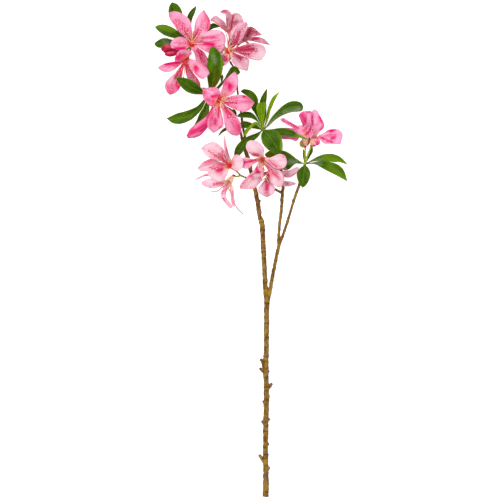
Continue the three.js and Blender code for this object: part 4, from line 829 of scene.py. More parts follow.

# Marks are strokes on the ground plan: from X and Y to X and Y, width and strength.
# On the leaves, shade strokes are painted shade, grey strokes a painted grey sheen, and the bright strokes
# painted highlights, most of them along the rims. Brown strokes turn the green olive-brown.
LEAF_MARKS = {
  "leaf_left_upright": {"grey": [(-56, 290, -54, 280, 3, 0.7)],
    "pale_and_highlight": [(-44, 262, -43.5, 288, 2, 0.9), (-60, 268, -58, 300, 3, 0.4)],
    "brown": [(-60, 238, -50, 262, 6, 0.45)]},
  "leaf_mid_front": {"pale_and_highlight": [(45.5, 150, 46, 165, 2, 0.9)]},
  "leaf_mid_right": {"grey": [(28, 188, 72, 209, 4.5, 0.8), (50, 205, 70, 208, 4, 0.5)]},
  "leaf_right_broad": {"grey": [(68, 131, 58, 131, 3.5, 0.7)], "brown": [(34, 144, 22, 141, 4, 0.8)],
    "pale_and_highlight": [(30, 146, 24, 141, 5, 0.6)]},
  "leaf_right_high": {"grey": [(88, 131, 104, 134, 4, 0.6)], "pale_and_highlight": [(112, 137, 140, 131, 6, 0.7)]},
  "leaf_right_low": {"grey": [(88, 128, 102, 128, 4, 0.5)], "pale_and_highlight": [(120, 123, 143, 104, 6, 0.6)]},
  "leaf_left_down": {"pale_and_highlight": [(-90, 200, -122, 195, 3, 0.35)]},
  "leaf_left_out": {"shade": [(-74, 236, -84, 240, 5, 0.5)]},
  "leaf_mid_tailed": {"pale_and_highlight": [(70, 170, 86, 165, 3, 0.9)]},
  "leaf_top_left": {"pale_and_highlight": [(-116, 328, -140, 335, 4, 0.6)], "shade": [(-106, 318, -130, 324, 3, 0.6)]},
  "leaf_top_low": {"grey": [(-131, 312, -122, 308, 3.5, 0.4)]},
}
# Most strokes on the flowers are the petals' own flushes, blotches and pale patches. Some also paint in the
# shading of the folds: darker ones as painted shade, paler ones as painted light.
FLOWER_MARKS = {
  "01": {"crimson": [(-88, 306, -88, 306, 3.5, 1), (-93, 312, -100, 328, 2, 1),
      (-98, 320, -113, 342, 6, 0.42), (-78, 326, -74, 345, 5, 0.25), (-91, 313, -95, 330, 1.6, 0.9),
      (-97, 322, -103, 337, 4.5, 0.42), (-86, 314, -79, 330, 2.4, 0.9), (-85, 313, -76, 325, 1.8, 0.7),
      (-84, 308, -72, 310, 2, 0.7), (-80, 300, -74, 284, 2.4, 0.95), (-72, 288, -68, 276, 2, 0.6),
      (-96, 307, -108, 309, 3.4, 0.6), (-76, 327, -70, 334, 2, 0.6)],
    "pink": [(-112, 336, -122, 352, 3.5, 0.45), (-105, 330, -115, 350, 9, 0.2),
      (-66, 325, -63, 345, 3.4, 0.7), (-66, 345, -69, 356, 3.5, 0.6), (-74, 317, -55, 318, 2.2, 0.7),
      (-74, 309, -57, 306.5, 3.4, 1), (-76, 296, -73, 284, 4.5, 0.9), (-100, 301, -114, 300.5, 2.5, 0.9),
      (-66, 300, -50, 300, 2, 0.5)],
    "pale": [(-92, 338, -99, 350, 4.5, 0.7), (-79, 335, -76, 352, 5, 0.8), (-72, 323, -48, 326, 4, 0.9),
      (-43, 320, -41, 304, 3.6, 0.9), (-107, 311, -103, 312, 2.5, 0.9), (-60, 296, -46, 297, 2.6, 0.8),
      (-118, 312, -106, 316, 3, 0.5), (-82, 285, -74, 274, 2.4, 0.6), (-120, 344, -110, 352, 4, 0.5)],
    "warm": [(-86, 312, -84, 316, 4, 0.8)]},
  "02": {"pink": [(-110, 287, -100, 291, 4.5, 1), (-104, 284, -97, 287, 3.5, 0.9),
      (-108, 279.5, -128, 277.5, 3, 1), (-118, 240, -120, 234, 7, 0.6), (-110, 245, -107, 238, 4, 0.8),
      (-84, 262, -78, 250, 3, 0.8), (-83, 272, -81, 268, 4, 1)],
    "crimson": [(-98, 284, -99, 280, 3.5, 1), (-105, 277, -116, 274, 2, 0.8),
      (-104, 266, -112, 248, 2.8, 1), (-101, 277, -114, 258, 2, 1), (-80, 257, -76.5, 246, 2.5, 0.9),
      (-95, 277, -86, 258, 2, 1), (-97, 276, -98, 258, 1.8, 0.9), (-92, 260, -86, 250, 3, 0.5),
      (-118, 246, -120, 238, 4, 0.5)],
    "pale": [(-92, 295, -104, 296.5, 3, 0.5), (-130, 271, -118, 268, 3, 0.5),
      (-116, 262, -121, 250, 4.5, 0.8), (-90, 262, -86, 256, 3, 0.5), (-74, 264, -68, 262, 6, 0.7),
      (-90, 281, -84, 281, 3, 0.6)], "warm": [(-92, 278, -88, 275, 2.4, 0.35)]},
  "03": {"crimson": [(-34, 297, -34, 297, 3.2, 1), (-27, 304, -17, 326, 4, 1), (-30, 303, -25, 320, 2, 0.9),
      (-22, 308, -18, 322, 3.4, 1), (-24, 299, -2, 304, 4.4, 1), (-16, 294, -3, 292, 3.2, 1),
      (-18, 298, 3, 300, 6, 1), (-20, 290, -15, 286, 5, 1), (-26, 294, -20, 287, 3, 0.9),
      (-32, 304, -32, 314, 1.8, 0.7), (2, 305, 8, 296, 4, 0.5), (-16, 326, -11, 334, 3, 0.5),
      (-41, 290.5, -40, 288, 2.4, 0.8)],
    "warm": [(-34, 297, -34, 297, 6.5, 0.9), (-31, 293, -31, 293, 3, 0.9)],
    # The stroke across the left lobe, from X -57 to -46, is painted light. It lifts the lobe out of the shade
    # under the lobes above it.
    "pale": [(14, 296, 17, 290, 8, 0.8), (10, 286, 4, 285.5, 4, 0.6), (-10, 280, -8, 272, 5, 0.6),
      (-24, 280, -14, 273, 4, 0.4), (-57, 300, -46, 296, 6, 0.9), (-42, 279, -40, 277, 4, 0.5)],
    "pink": [(-6, 270, -6, 270, 3, 0.6), (-39, 290, -38, 284, 4, 1), (-20, 300, 0, 300, 7, 0.5),
      (-14, 284, -8, 276, 4, 0.4)]},
  "04": {"crimson": [(-27, 350, -30, 329, 2.2, 1), (-24, 339, -21, 341, 3, 0.8),
      (-43, 335, -41, 330, 3, 0.7)], "pale": [(-20, 347, -16, 345, 5, 0.6), (-55, 345, -50, 343, 5, 0.5)],
    "pink": [(-44, 356, -38, 357, 2, 0.6)]},
  "05": {"crimson": [(-1, 329, -6, 320, 5, 1), (2, 326, 9, 325, 4, 0.8)],
    "pink": [(2, 315, 10, 316, 2.4, 0.9), (2, 330, 10, 322, 4, 0.6)]},
  "06": {"crimson": [(-48, 222, -47, 220.5, 3.2, 1), (-42, 219.5, -22, 219, 2.2, 1),
      (-38, 226, -24, 228, 2.4, 0.55), (-40, 213, -30, 201, 3.4, 1), (-38, 208, -34, 197, 2.2, 0.9),
      (-33, 206, -26, 196, 3, 0.8), (-48, 213, -49, 200, 2.8, 1), (-52, 208, -50, 196, 2.4, 0.7),
      (-46, 183, -40, 177, 2, 0.9), (-36, 214, -22, 212, 3, 0.45)],
    "warm": [(-51, 215, -51, 218, 3.2, 1), (-46, 226, -40, 228, 3, 0.7), (-42, 229, -36, 231, 2.5, 0.5)],
    "pink": [(-58, 228.5, -50, 230, 3, 1), (-58, 218, -66, 224, 3, 0.6), (-70, 232, -69, 238, 3, 0.4),
      (-57, 222, -54, 218, 3.5, 0.8), (-31, 243, -31, 243, 5.5, 1), (-33, 247, -30, 238, 3.5, 0.9),
      (-38, 247, -36, 250, 3, 0.5), (-10, 229, -10, 229, 3.2, 1), (-6, 226, 0, 222, 3, 0.5),
      (-24, 214, -14, 209, 2.5, 0.4), (-22, 190, -20, 176, 6, 0.45), (-18, 186, -17, 178, 2.6, 0.7),
      (-53, 194, -54, 188, 3, 0.8), (-58, 210, -60, 195, 3, 0.6)],
    "pale": [(-26, 258, -22, 250, 4, 0.6), (-25, 240, -30, 233, 3, 0.5), (-10, 214, -18, 212, 5, 0.6),
      (-36, 190, -32, 180, 4, 0.5), (-47, 195, -46, 186, 3, 0.5)]},
  "07": {"crimson": [(-33, 125, -33, 125, 3.5, 1), (-35, 127, -40, 131, 2.5, 0.9),
      (-40, 133, -48, 142, 1.8, 0.95), (-42, 136, -44, 144, 1.4, 0.9), (-48, 137, -56, 142, 2.4, 0.95),
      (-56, 142, -63, 147, 2, 0.7), (-38, 137, -43, 147, 1.3, 0.7), (-62, 121, -47, 122, 2, 0.6)],
    "pale": [(-66, 152, -56, 157, 5, 0.8), (-70, 147, -66, 141, 4, 0.6), (-47, 152, -47, 152, 3, 0.5),
      (-72, 122, -66, 120, 4, 0.8), (-58, 110, -48, 105, 6, 0.9), (-40, 112, -38, 116, 3, 0.8),
      (-20, 132, -18, 124, 8, 0.9)],
    "pink": [(-62, 131, -70, 129, 2.5, 0.5), (-50, 118, -44, 120, 4.5, 1), (-48, 127, -42, 126, 2.5, 0.7),
      (-27, 131, -26, 127, 2.2, 0.9), (-36, 150, -32, 140, 2, 0.7)],
    "warm": [(-38, 122, -35, 121, 3, 0.7), (-30, 132, -30, 132, 2.5, 0.6)]},
  "08": {"warm": [(-31, 104, -34, 99, 5, 1), (-28, 100, -28, 90, 2.2, 0.7)],
    "crimson": [(-56, 97, -43, 98, 2.2, 0.8), (-50, 101, -43, 103, 1.8, 0.7),
      (-67, 111, -63, 108, 2.2, 0.8), (-41, 75, -40, 73, 2.2, 0.8), (-28, 80, -28, 86, 2, 0.5),
      (-44, 88, -42, 82, 1.6, 0.6)], "pale": [(-66, 101, -58, 103, 5, 0.6), (-43, 82, -44, 78, 2.5, 0.6)],
    "pink": [(-38, 84, -36, 90, 2, 0.6)]},
  "09": {"crimson": [(15.5, 136, 17, 133, 2.8, 1), (3, 142, 10, 141, 2.8, 1), (-2, 144, 3, 142, 2, 0.6),
      (10, 133.5, 4, 132.5, 1.5, 0.7), (3, 110, 4, 106, 2, 0.7), (-12, 97, -14, 93, 3, 0.35),
      (25, 122, 36, 112, 2.4, 0.7)], "warm": [(20, 131, 18, 128, 3.5, 0.8), (16, 128, 15, 122, 2.5, 0.7)],
    "pale": [(0, 155, 10, 152, 9, 0.9), (-14, 124, -8, 122, 3, 0.4), (-2, 98, 4, 96, 6, 0.6),
      (34, 103, 40, 97, 5, 0.9), (44, 112, 46, 104, 3, 0.6), (36, 137, 47, 130, 7, 0.8)],
    "pink": [(10, 134, -10, 130, 2.6, 0.9), (-12, 127, -4, 126, 3, 0.5), (8, 121, 10, 116, 3.5, 0.9),
      (-2, 110, 4, 108, 3, 0.6), (25, 122, 36, 112, 3.4, 1), (36, 112, 44, 105, 2.6, 0.8),
      (27, 133, 38, 124, 2, 0.8), (33, 131, 44, 124, 1.8, 0.6), (48, 139, 48, 139, 2.5, 0.5)]},
  "10": {"crimson": [(23.5, 108, 24.5, 100, 2.6, 1), (19, 112, 24, 116, 2.2, 0.9),
      (50, 111, 55, 110, 2.5, 0.6), (49, 99, 56, 97, 2.2, 0.7)],
    "pink": [(24.5, 100, 24, 90, 3.4, 0.9), (24, 90, 25, 84, 5, 0.4), (4, 114, 14, 116, 2, 1),
      (14, 107, 19, 112, 1.6, 0.9)],
    "pale": [(14, 90, 15, 86, 4, 0.8), (32, 90, 31, 85, 4, 0.8), (8, 110, 12, 110, 2.5, 0.8),
      (60, 116, 68, 119, 3, 0.6), (60, 99, 60, 99, 3, 0.5)]},
  "11": {"crimson": [(48, 193, 72, 181, 1.8, 0.8), (48, 167, 68, 165, 1.8, 0.6), (84, 172, 89, 180, 3.4, 1),
      (74.5, 191, 79, 184.5, 1.8, 1), (82, 183, 86, 184, 2, 0.8), (84, 205, 92, 206, 2, 0.8)],
    "pale": [(73, 180, 74, 185, 2.4, 0.9), (79, 182, 83, 185, 1.8, 0.8), (87, 200, 86, 190, 2.4, 0.9),
      (75, 174, 75, 168, 3, 0.6)],
    "pink": [(79, 177, 83, 181, 3.4, 0.9), (77, 200, 81, 192, 5, 0.8), (60, 188, 70, 182, 2.4, 0.6)],
    "warm": [(78, 160, 92, 160, 4, 0.8)]},
  "12": {"crimson": [(91, 198, 92.5, 186, 2, 1), (105, 167, 122, 160, 2, 1), (92, 178, 91, 168, 2, 0.9)],
    "pink": [(106, 190, 103, 198, 2.5, 0.8), (108, 186, 104, 180, 2.5, 0.7), (116, 175, 122, 178, 4, 0.8),
      (118, 166, 126, 167, 2.4, 1), (98, 163, 100, 158, 3, 0.8)],
    "pale": [(96, 206, 97, 190, 2.6, 0.9), (104, 186, 99, 182, 3.4, 0.9), (133, 172, 130, 162, 4, 0.8),
      (106, 171, 116, 174, 1.8, 0.9), (110, 164, 118, 166, 1.6, 0.8), (97, 172, 97, 164, 1.8, 0.8)],
    "warm": [(78, 160, 92, 160, 4, 0.8)]},
}

# The long threads, each through its points. Then where a flower's further threads end on the ground plan.
STAMENS = {
  "01": [[[-86.5, 316, 62], [-86.5, 323, 66]], [[-91, 315, 62], [-93, 320, 66]],
    [[-83, 311, 63], [-73, 318, 67]]],
  "02": [[[-104, 274, 54], [-114.3, 257, 52]], [[-102, 272, 54], [-107, 260, 52]],
    [[-99.5, 271, 53], [-101, 258.5, 50]], [[-96, 272, 52], [-91.5, 261, 49]]],
  "03": [[[-37, 302, 60], [-40.3, 305.5, 63]], [[-34, 308, 61], [-33, 317, 65]],
    [[-35, 313, 63], [-39, 328, 68]]],
  "06": [[[-44, 223, 64], [-41, 222.5, 69]], [[-45, 227, 64], [-39.5, 230, 69]],
    [[-43, 219, 64], [-37, 217.5, 69]]],
  "07": [[[-38, 129, 61], [-45, 134, 67]], [[-36, 131, 62], [-39.5, 138, 67]],
    [[-39, 126, 63], [-43, 127.5, 68]]],
  "08": [[[-43, 93, 51], [-50, 87, 53], [-58, 86.5, 53]],
    [[-31, 86, 52], [-26.5, 72, 53], [-20, 60.5, 52], [-13.3, 53.5, 50]]],
  "09": [[[20.5, 132.5, 67], [29, 125.5, 69], [38, 119.6, 67], [51, 121, 66]],
    [[18, 128, 68], [18.8, 117.5, 69]]],
  "10": [[[24.5, 107, 53], [28.5, 110.5, 56]], [[20, 105.5, 50], [13, 100, 49]]],
}
SPRAYS = {
  "01": [(-98, 320), (-94, 326), (-87, 325), (-80, 321), (-74, 315), (-72, 308)],
  "02": [(-111, 267), (-104, 262), (-96, 259), (-89, 267)],
  "03": [(-31, 313), (-36, 318), (-27, 306), (-24, 300), (-28, 290)],
  "06": [(-40, 231), (-35, 227), (-34, 222), (-36, 216), (-41, 211), (-46, 209)],
  "07": [(-41, 130), (-45, 136), (-39, 139), (-43, 126), (-36, 134)],
  "09": [(23, 124), (20, 119), (26, 129), (13, 124)],
  "10": [(20, 103), (25, 101)],
}

# How a thread or pollen sac is coloured. Then the tones of a flower's long and further threads, and how thick
# they are.
ROSE, RED, CREAM, OLIVE, SAC = -0.33, 0, 0.33, 0.66, 1
STAMEN_TONES = {"01": (RED, CREAM, 1), "02": (RED, RED, 1.1), "03": (RED, CREAM, 1), "06": (RED, CREAM, 1),
  "07": (RED, RED, 0.9), "08": (ROSE, RED, 2.2), "09": (OLIVE, RED, 1.1), "10": (RED, CREAM, 0.9)}
SPRAY_RISE = 9
THREAD_RADIUS = 0.55
ANTHER_RADIUS = 0.8

# Each stalk group: its hub, or the stub it stands on, and its forks to a flower, by way of points.
STALKS = {
  "stalk_top": {"hub": "top", "to": [["01"], ["02"], [None, [-98, 299.5, 32], [-106, 297, 36]]]},
  "stalk_upper_right": {"hub": [-32.6, 283, 31.2, 1.4],
    "to": [["03"], ["04", [-32, 300, 27]], ["05", [-26, 295, 29]]]},
  "stalk_left": {"hub": "left", "to": [["06"], [None, [-60, 222, 39], [-58, 212.5, 44]]]},
  "stalk_low": {"hub": [-10.3, 107.9, 29.4, 1.1],
    "to": [["07", [-15, 110, 31], [-21, 116, 34]], ["08", [-15, 110, 31], [-22, 108.6, 31.5]]]},
  "stalk_lower_middle": {"hub": [41.6, 124.4, 28.8, 1.3],
    "to": [["09", [36, 126, 33]], ["10", [38, 121.5, 31]]]},
  "stalk_right": {"hub": "right", "to": [["11", [81.2, 142, 35]], ["12", [85.5, 142, 34.6]]]},
}

# The dry scales round the feet of the right flowers.
SCALES = {
  "a": {"from": [80.6, 151.5, 35], "path": [[76.5, 155, 38], [73.6, 161.5, 41]], "width": 5, "roll": [-15]},
  "b": {"from": [84.6, 154, 33], "path": [[86, 161, 37], [87.4, 170, 40]], "width": 6},
  "c": {"from": [79.6, 152.6, 33.5], "path": [[77.4, 158, 37], [77.6, 165.5, 41]], "width": 6},
  "d": {"from": [91.6, 152.6, 34], "path": [[96, 156.5, 37], [101.5, 160.5, 39]], "width": 4.5},
}

BUD_SPINES = [[[-107, 297.6, 37, 1.2], [-112.5, 299, 38, 2.8], [-119, 300.4, 38, 4.6],
    [-125.5, 300.6, 38, 6.6], [-130.5, 300, 38, 5.6], [-133.6, 299.4, 38, 2.6], [-134.8, 299, 38, 0.6]],
  [[-107.5, 296.6, 37, 1.2], [-111, 295.2, 40, 2.8], [-116, 294, 43.5, 4.2], [-122, 293, 45, 4.3],
    [-127, 292.4, 45, 2.8], [-129.8, 292.2, 45, 0.6]]]
# The bud's crimson strokes are painted shade, along its left edge and in the valley between the two buds. Its
# pale strokes are painted highlights.
BUD_MARKS = {
  "crimson": [(-133, 304, -134, 296, 1.8, 1), (-130, 296, -114, 298, 1.4, 0.9),
    (-112, 290, -104, 292, 2, 0.6)],
  "pale": [(-121, 303, -127, 305, 2.2, 0.7), (-116, 295, -125, 294.5, 1.6, 0.9)],
}
HALF_OPEN_SPINE = [[-57.85, 211.9, 44.3, 1.5], [-61.3, 203, 46.5, 2.5], [-66, 194, 48, 4.8],
  [-73, 184.5, 49, 8], [-81, 178, 49, 8.6], [-89, 172.7, 48, 6.8], [-95.6, 168, 47, 2.4]]
HALF_OPEN_MARKS = {
  "pale": [(-68, 196, -84, 183, 2.2, 0.8), (-78, 174, -90, 169, 2.5, 0.6)],
  "crimson": [(-70, 186, -90, 174, 2.2, 0.8), (-62, 202, -66, 194, 2.6, 0.5)],
}


# Finishes

class Socket:
    """A node's output. Sums on it add Math nodes."""

    def __init__(self, finish, link):
        self.finish = finish
        self.link = link

    def math(self, operation, *others):
        values = dict(enumerate((self, *others)))
        return self.finish.add("ShaderNodeMath", {"operation": operation}, values)

    def __add__(self, other):
        return self.math("ADD", other)

    __radd__ = __add__

    def __sub__(self, other):
        return self.math("SUBTRACT", other)

    def __rsub__(self, other):
        return self * -1 + other

    def __mul__(self, other):
        return self.math("MULTIPLY", other)

    __rmul__ = __mul__

    def __truediv__(self, other):
        return self.math("DIVIDE", other)

    def __pow__(self, other):
        return self.math("POWER", other)

    def size(self):
        return self.math("ABSOLUTE")

    def between(self, low, high):
        """0 below low, 1 above high and smooth between them."""
        values = {"Value": self, "From Min": low, "From Max": high}
        return self.finish.add("ShaderNodeMapRange", {"interpolation_type": "SMOOTHSTEP"}, values)


class Finish:
    """A material and the nodes that make it."""

    def __init__(self, name, **surface):
        self.material = bpy.data.materials.new(name)
        self.material.use_nodes = True
        self.nodes = self.material.node_tree.nodes
        self.nodes.clear()
        shader = self.nodes.new("ShaderNodeBsdfPrincipled")
        output = self.nodes.new("ShaderNodeOutputMaterial")
        self.material.node_tree.links.new(shader.outputs[0], output.inputs[0])
        self.surface = shader
        for name_of_socket, value in surface.items():
            shader.inputs[name_of_socket.replace("_", " ")].default_value = value

    def add(self, kind, settings=None, values=None, output=0):
        """Adds a node: its settings first, then the values or links of its sockets."""
        node = self.nodes.new(kind)
        for name, value in (settings or {}).items():
            setattr(node, name, value)
        for name, value in (values or {}).items():
            self.plug(node.inputs[name], value)
        return Socket(self, node.outputs[output])

    def plug(self, socket, value):
        if isinstance(value, Socket):
            self.material.node_tree.links.new(value.link, socket)
        else:
            socket.default_value = value

    def mix(self, factor, first, second):
        """A colour from first to second."""
        settings = {"data_type": "RGBA", "clamp_factor": True}
        return self.add("ShaderNodeMix", settings, {0: factor, 6: colour(first), 7: colour(second)}, output=2)

    def layered(self, base, *coats):
        """A colour with further ones laid over it, each by its strength."""
        for strength, coat in coats:
            base = self.mix(strength, base, coat)
        return base

    def split(self, kind, spot):
        """The three numbers of a colour or vector."""
        node = self.add(kind, values={0: spot}).link.node
        return [Socket(self, output) for output in node.outputs]

    def attribute(self, name):
        """The three numbers of a vertex attribute."""
        spot = self.add("ShaderNodeAttribute", {"attribute_name": name}, output="Vector")
        return self.split("ShaderNodeSeparateXYZ", spot)

    def marks(self):
        """The four kinds of mark."""
        spot = self.add("ShaderNodeAttribute", {"attribute_name": "marks"}, output="Color")
        return [*self.split("ShaderNodeSeparateColor", spot), Socket(self, spot.link.node.outputs["Alpha"])]

    def place(self):
        """The place on the branch, in millimetres."""
        parts = self.split("ShaderNodeSeparateXYZ", self.add("ShaderNodeTexCoord", output="Object"))
        return [part * (1 / MM) for part in parts]

    def noise(self, x, y, z, detail=2):
        spot = self.add("ShaderNodeCombineXYZ", values={"X": x, "Y": y, "Z": z})
        return self.add("ShaderNodeTexNoise", values={"Vector": spot, "Scale": 1.0, "Detail": detail})

    def show(self, base, roughness=None, relief=None, depth=0.2, strength=0.5):
        """Sends the colour, roughness and relief to the surface."""
        self.plug(self.surface.inputs["Base Color"], base)
        if roughness is not None:
            self.plug(self.surface.inputs["Roughness"], roughness)
        if relief is not None:
            values = {"Strength": strength, "Distance": depth * MM, "Height": relief}
            self.plug(self.surface.inputs["Normal"], self.add("ShaderNodeBump", values=values))
        return self.material


def colour(value):
    """A colour socket's value: a link, or red, green and blue as they look under the lamps, 0 to 255."""
    if isinstance(value, Socket):
        return value
    linear = [c / 255 / 12.92 if c <= 10 else ((c / 255 + 0.055) / 1.055) ** 2.4 for c in value]
    return (*(min(c / LIGHT, 0.98) for c in linear), 1.0)


# How brightly a throat glows: painted light, standing in for light shining through the petal walls.
THROAT_GLOW = 0.42
THROAT_COLOUR = (226, 26, 34)


def petal_finish(name, body, light, hot, deep, throat, lift=0.02):
    """A petal: lengthwise veins, flushed patches, rows of dark dashes and a glowing throat. The glow is
    painted light: it stands in for light shining through the thin petals and lifts their shade.
    """
    finish = Finish(name, Specular_IOR_Level=0.1, Emission_Strength=1.0)
    across, along, seed = finish.attribute("fan")
    wide, long, _ = finish.attribute("cloth")
    glow, _, _ = finish.attribute("glow")
    crimson, pink, pale, warm = finish.marks()
    veins = finish.noise(across * 10, along * 1.4, seed * 7, detail=3)
    mottle = finish.noise(across * 2.6, along * 3, seed * 5 + 3, detail=3)
    flush = finish.noise(across * 1.5, along * 2.2, seed * 11 + 5, detail=4).between(0.46, 0.64)
    speckle = finish.noise(wide * 0.55, long * 0.4, seed * 9, detail=4)
    dashes = finish.noise(wide * 0.95, long * 0.42, seed * 3 + 7, detail=1).between(0.46, 0.58)
    lines = (across * 27 + veins * 4 + mottle * 3).math("SINE").between(0.3, 1.0)
    lines = lines * (1 - across.size().between(0.8, 1.0)) * along.between(0.05, 0.3)
    dotted = dashes * crimson.between(0.05, 0.45) * 0.95
    base = finish.layered(
        light,
        (mottle.between(0.34, 0.66) * 0.75 + veins.between(0.42, 0.7) * 0.25, body),
        (flush * 0.45, hot),
        ((1 - speckle.between(0.3, 0.48)) * 0.75, light),
        (speckle.between(0.54, 0.7) * 0.6, hot),
        (lines * 0.38, light),
        ((1 - lines) * veins.between(0.48, 0.62) * along.between(0.1, 0.4) * 0.4, hot),
        (pink * (0.85 + mottle * 0.7), hot),
        (pale * (1.25 - veins.between(0.45, 0.65) * 0.4), light),
        (warm * (0.8 + veins * 0.4), throat),
        ((1 - dashes) * crimson.between(0.1, 0.5) * 0.5, light),
        (dotted.math("MAXIMUM", crimson.between(0.45, 1.0) * (0.65 + veins * 0.5)), deep),
        (glow * 0.85, finish.mix(veins.between(0.5, 0.75) * 0.7, THROAT_COLOUR, throat)),
    )
    # Painted glow: the throat shines by itself, and the whole petal a little, which lifts its shade.
    shine = finish.mix(lift + glow * THROAT_GLOW, (0, 0, 0), base)
    finish.plug(finish.surface.inputs["Emission Color"], shine)
    relief = veins * 0.6 + speckle * 0.3 - lines * 0.25
    return finish.show(base, roughness=0.5 + mottle * 0.25, relief=relief, depth=0.45, strength=0.6)


def leaf_finish(name, body, dark, bright, sheen, rib):
    """A leaf: mottled, with slanting side veins, a pale midrib and a paler rim, which is a painted rim
    highlight. Its marks add painted shade, painted highlights, a painted grey sheen and olive-brown patches.
    """
    finish = Finish(name, Specular_IOR_Level=0.09)
    across, along, seed = finish.attribute("fan")
    wide, long, _ = finish.attribute("cloth")
    shade, pale_and_highlight, grey, brown = finish.marks()
    mottle = finish.noise(wide * 0.16, long * 0.1, seed * 5, detail=4)
    fine = finish.noise(wide * 0.9, long * 0.9, seed * 3, detail=3)
    slant = (long - wide.size() * SIDE_VEIN_SLANT) / SIDE_VEIN_STEP + mottle * 0.5
    swing = (slant * (2 * math.pi)).math("COSINE")
    side_veins = swing.between(0.86, 1.0) * (1 - across.size().between(0.75, 1.0))
    midrib = 1 - wide.size().between(0.15, 0.75)
    base = finish.layered(
        dark,
        (mottle.between(0.32, 0.68), body),
        (fine.between(0.45, 0.75) * 0.35, bright),
        (shade, dark),
        # Painted highlights from the bright strokes; on the rib this channel gives the stalk its paler green.
        (pale_and_highlight * (0.7 + fine * 0.6), bright),
        (side_veins * 0.25, rib),
        # Painted sheen: grey strokes lay a pale grey-green painted highlight where the leaf would reflect the
        # light.
        (grey * (0.6 + swing * 0.2 + fine * 0.3), sheen),
        (brown * (0.5 + fine), (104, 98, 6)),
        (midrib * 0.55, rib),
        # Painted rim highlight: the blade grows paler towards its edges.
        (across.size() ** 7 * 0.65, bright),
    )
    relief = 0.8 - side_veins * 0.5 - midrib * 0.6 + fine * 0.15
    return finish.show(base, roughness=0.36 + mottle * 0.2, relief=relief, depth=0.5, strength=0.6)


def bark_finish():
    """Bark: tan and grey patches, yellow lichen, dark fibres and ring scars, green at the whorls, and painted
    shade on the sides and underside of the wood.
    """
    finish = Finish("bark", Specular_IOR_Level=0.3)
    x, y, z = finish.place()
    _, ring, twig = finish.attribute("grain")
    fresh, side, _, _ = finish.marks()
    lichen = finish.noise(x * 0.35, y * 0.16, z * 0.35 + 30, detail=3)
    broad = finish.noise(x * 0.12, y * 0.08, z * 0.12, detail=3)
    patch = finish.noise(x * 0.2, y * 0.09, z * 0.2 + 7, detail=4)
    fibre = finish.noise(x * 1.3, y * 0.12, z * 1.3, detail=4)
    fine = finish.noise(x * 1.6, y * 1.6, z * 1.6, detail=4)
    base = finish.layered(
        (124, 78, 20),
        (patch.between(0.38, 0.6), (182, 140, 40)),
        (broad.between(0.54, 0.64) * 0.6, (148, 116, 104)),
        (lichen.between(0.55, 0.68) * 0.65, (196, 168, 40)),
        (fibre.between(0.46, 0.66) * 0.6, (102, 60, 18)),
        (fine.between(0.52, 0.7) * 0.65, (70, 38, 12)),
        (twig * 0.25, (116, 78, 24)),
        # Painted shade: the wood darkens where its surface turns away from straight up.
        (side * (0.5 + fine * 0.6), (72, 38, 10)),
        (fresh, (120, 142, 40)),
        (ring * (0.7 + fine * 0.6), (48, 24, 8)),
    )
    relief = fibre * 0.5 + fine * 0.7 + patch * 0.5 + ring * 0.6
    return finish.show(base, roughness=0.7 + fine * 0.25, relief=relief, depth=0.8, strength=0.8)


def cut_finish():
    """The sawn end: growth rings round the pith, and a dark line under the bark."""
    finish = Finish("cut_wood", Specular_IOR_Level=0.2)
    x, _, z = finish.place()
    x, z = x - PITH[0], z - PITH[1]
    reach = (x * x + z * z) ** 0.5
    grain = finish.noise(x * 2, 0.0, z * 2, detail=3)
    rings = (reach * 5 + grain * 2).math("SINE") * 0.5 + 0.5
    base = finish.mix(rings * 0.5, (222, 200, 150), (190, 160, 104))
    base = finish.mix(reach.between(3.0, 3.5), base, (96, 70, 34))
    return finish.show(base, roughness=0.8 + grain * 0.1, relief=rings + grain, depth=0.15, strength=0.4)


def stalk_finish():
    """Yellow-green stalks, red at the flowers' feet."""
    finish = Finish("stalk", Specular_IOR_Level=0.4)
    x, y, z = finish.place()
    red, _, _, _ = finish.marks()
    fine = finish.noise(x * 0.9, y * 0.9, z * 0.9, detail=3)
    broad = finish.noise(x * 0.15, y * 0.15, z * 0.15)
    base = finish.mix(broad.between(0.35, 0.65), (122, 150, 14), (176, 188, 44))
    base = finish.mix(red * (0.9 + fine * 0.6), base, (204, 10, 36))
    return finish.show(base, roughness=0.5 + fine * 0.2, relief=fine, depth=0.2, strength=0.4)


def stamen_finish():
    """Threads of four colours, rose, red, cream and olive, and the pollen sacs' own."""
    finish = Finish("stamen", Specular_IOR_Level=0.3)
    _, along, shade = finish.attribute("fan")
    x, y, z = finish.place()
    fine = finish.noise(x * 1.2, y * 1.2, z * 1.2)
    red = finish.mix(along.between(0.3, 1.0), (238, 40, 44), (222, 60, 84))
    base = finish.layered(
        (238, 150, 172),
        (shade.between(-0.3, -0.1), red),
        (shade.between(0.1, 0.3), (255, 216, 160)),
        (shade.between(0.4, 0.6), (122, 96, 44)),
        (shade.between(0.75, 0.95), (214, 100, 78)),
        (fine.between(0.5, 0.75) * 0.3, (255, 200, 150)),
    )
    return finish.show(base, roughness=0.5 + fine * 0.2, relief=fine, depth=0.1)


def bud_finish(name, top, body, shade):
    """Rolled petals: fine veins and pale edges."""
    finish = Finish(name, Specular_IOR_Level=0.12)
    across, along, seed = finish.attribute("fan")
    crimson, _, pale, _ = finish.marks()
    veins = finish.noise(across * 8, along * 2.0, seed * 7, detail=3)
    base = finish.layered(
        body,
        (veins.between(0.38, 0.62), shade),
        # On the buds, the pale strokes give painted highlights and the crimson strokes painted shade.
        (pale * (0.6 + veins * 0.6), top),
        (crimson * (0.5 + veins), shade),
        (across.size() ** 8 * 0.25, top),
    )
    return finish.show(base, roughness=0.45 + veins * 0.2, relief=veins, depth=0.3, strength=0.5)


# Leaves

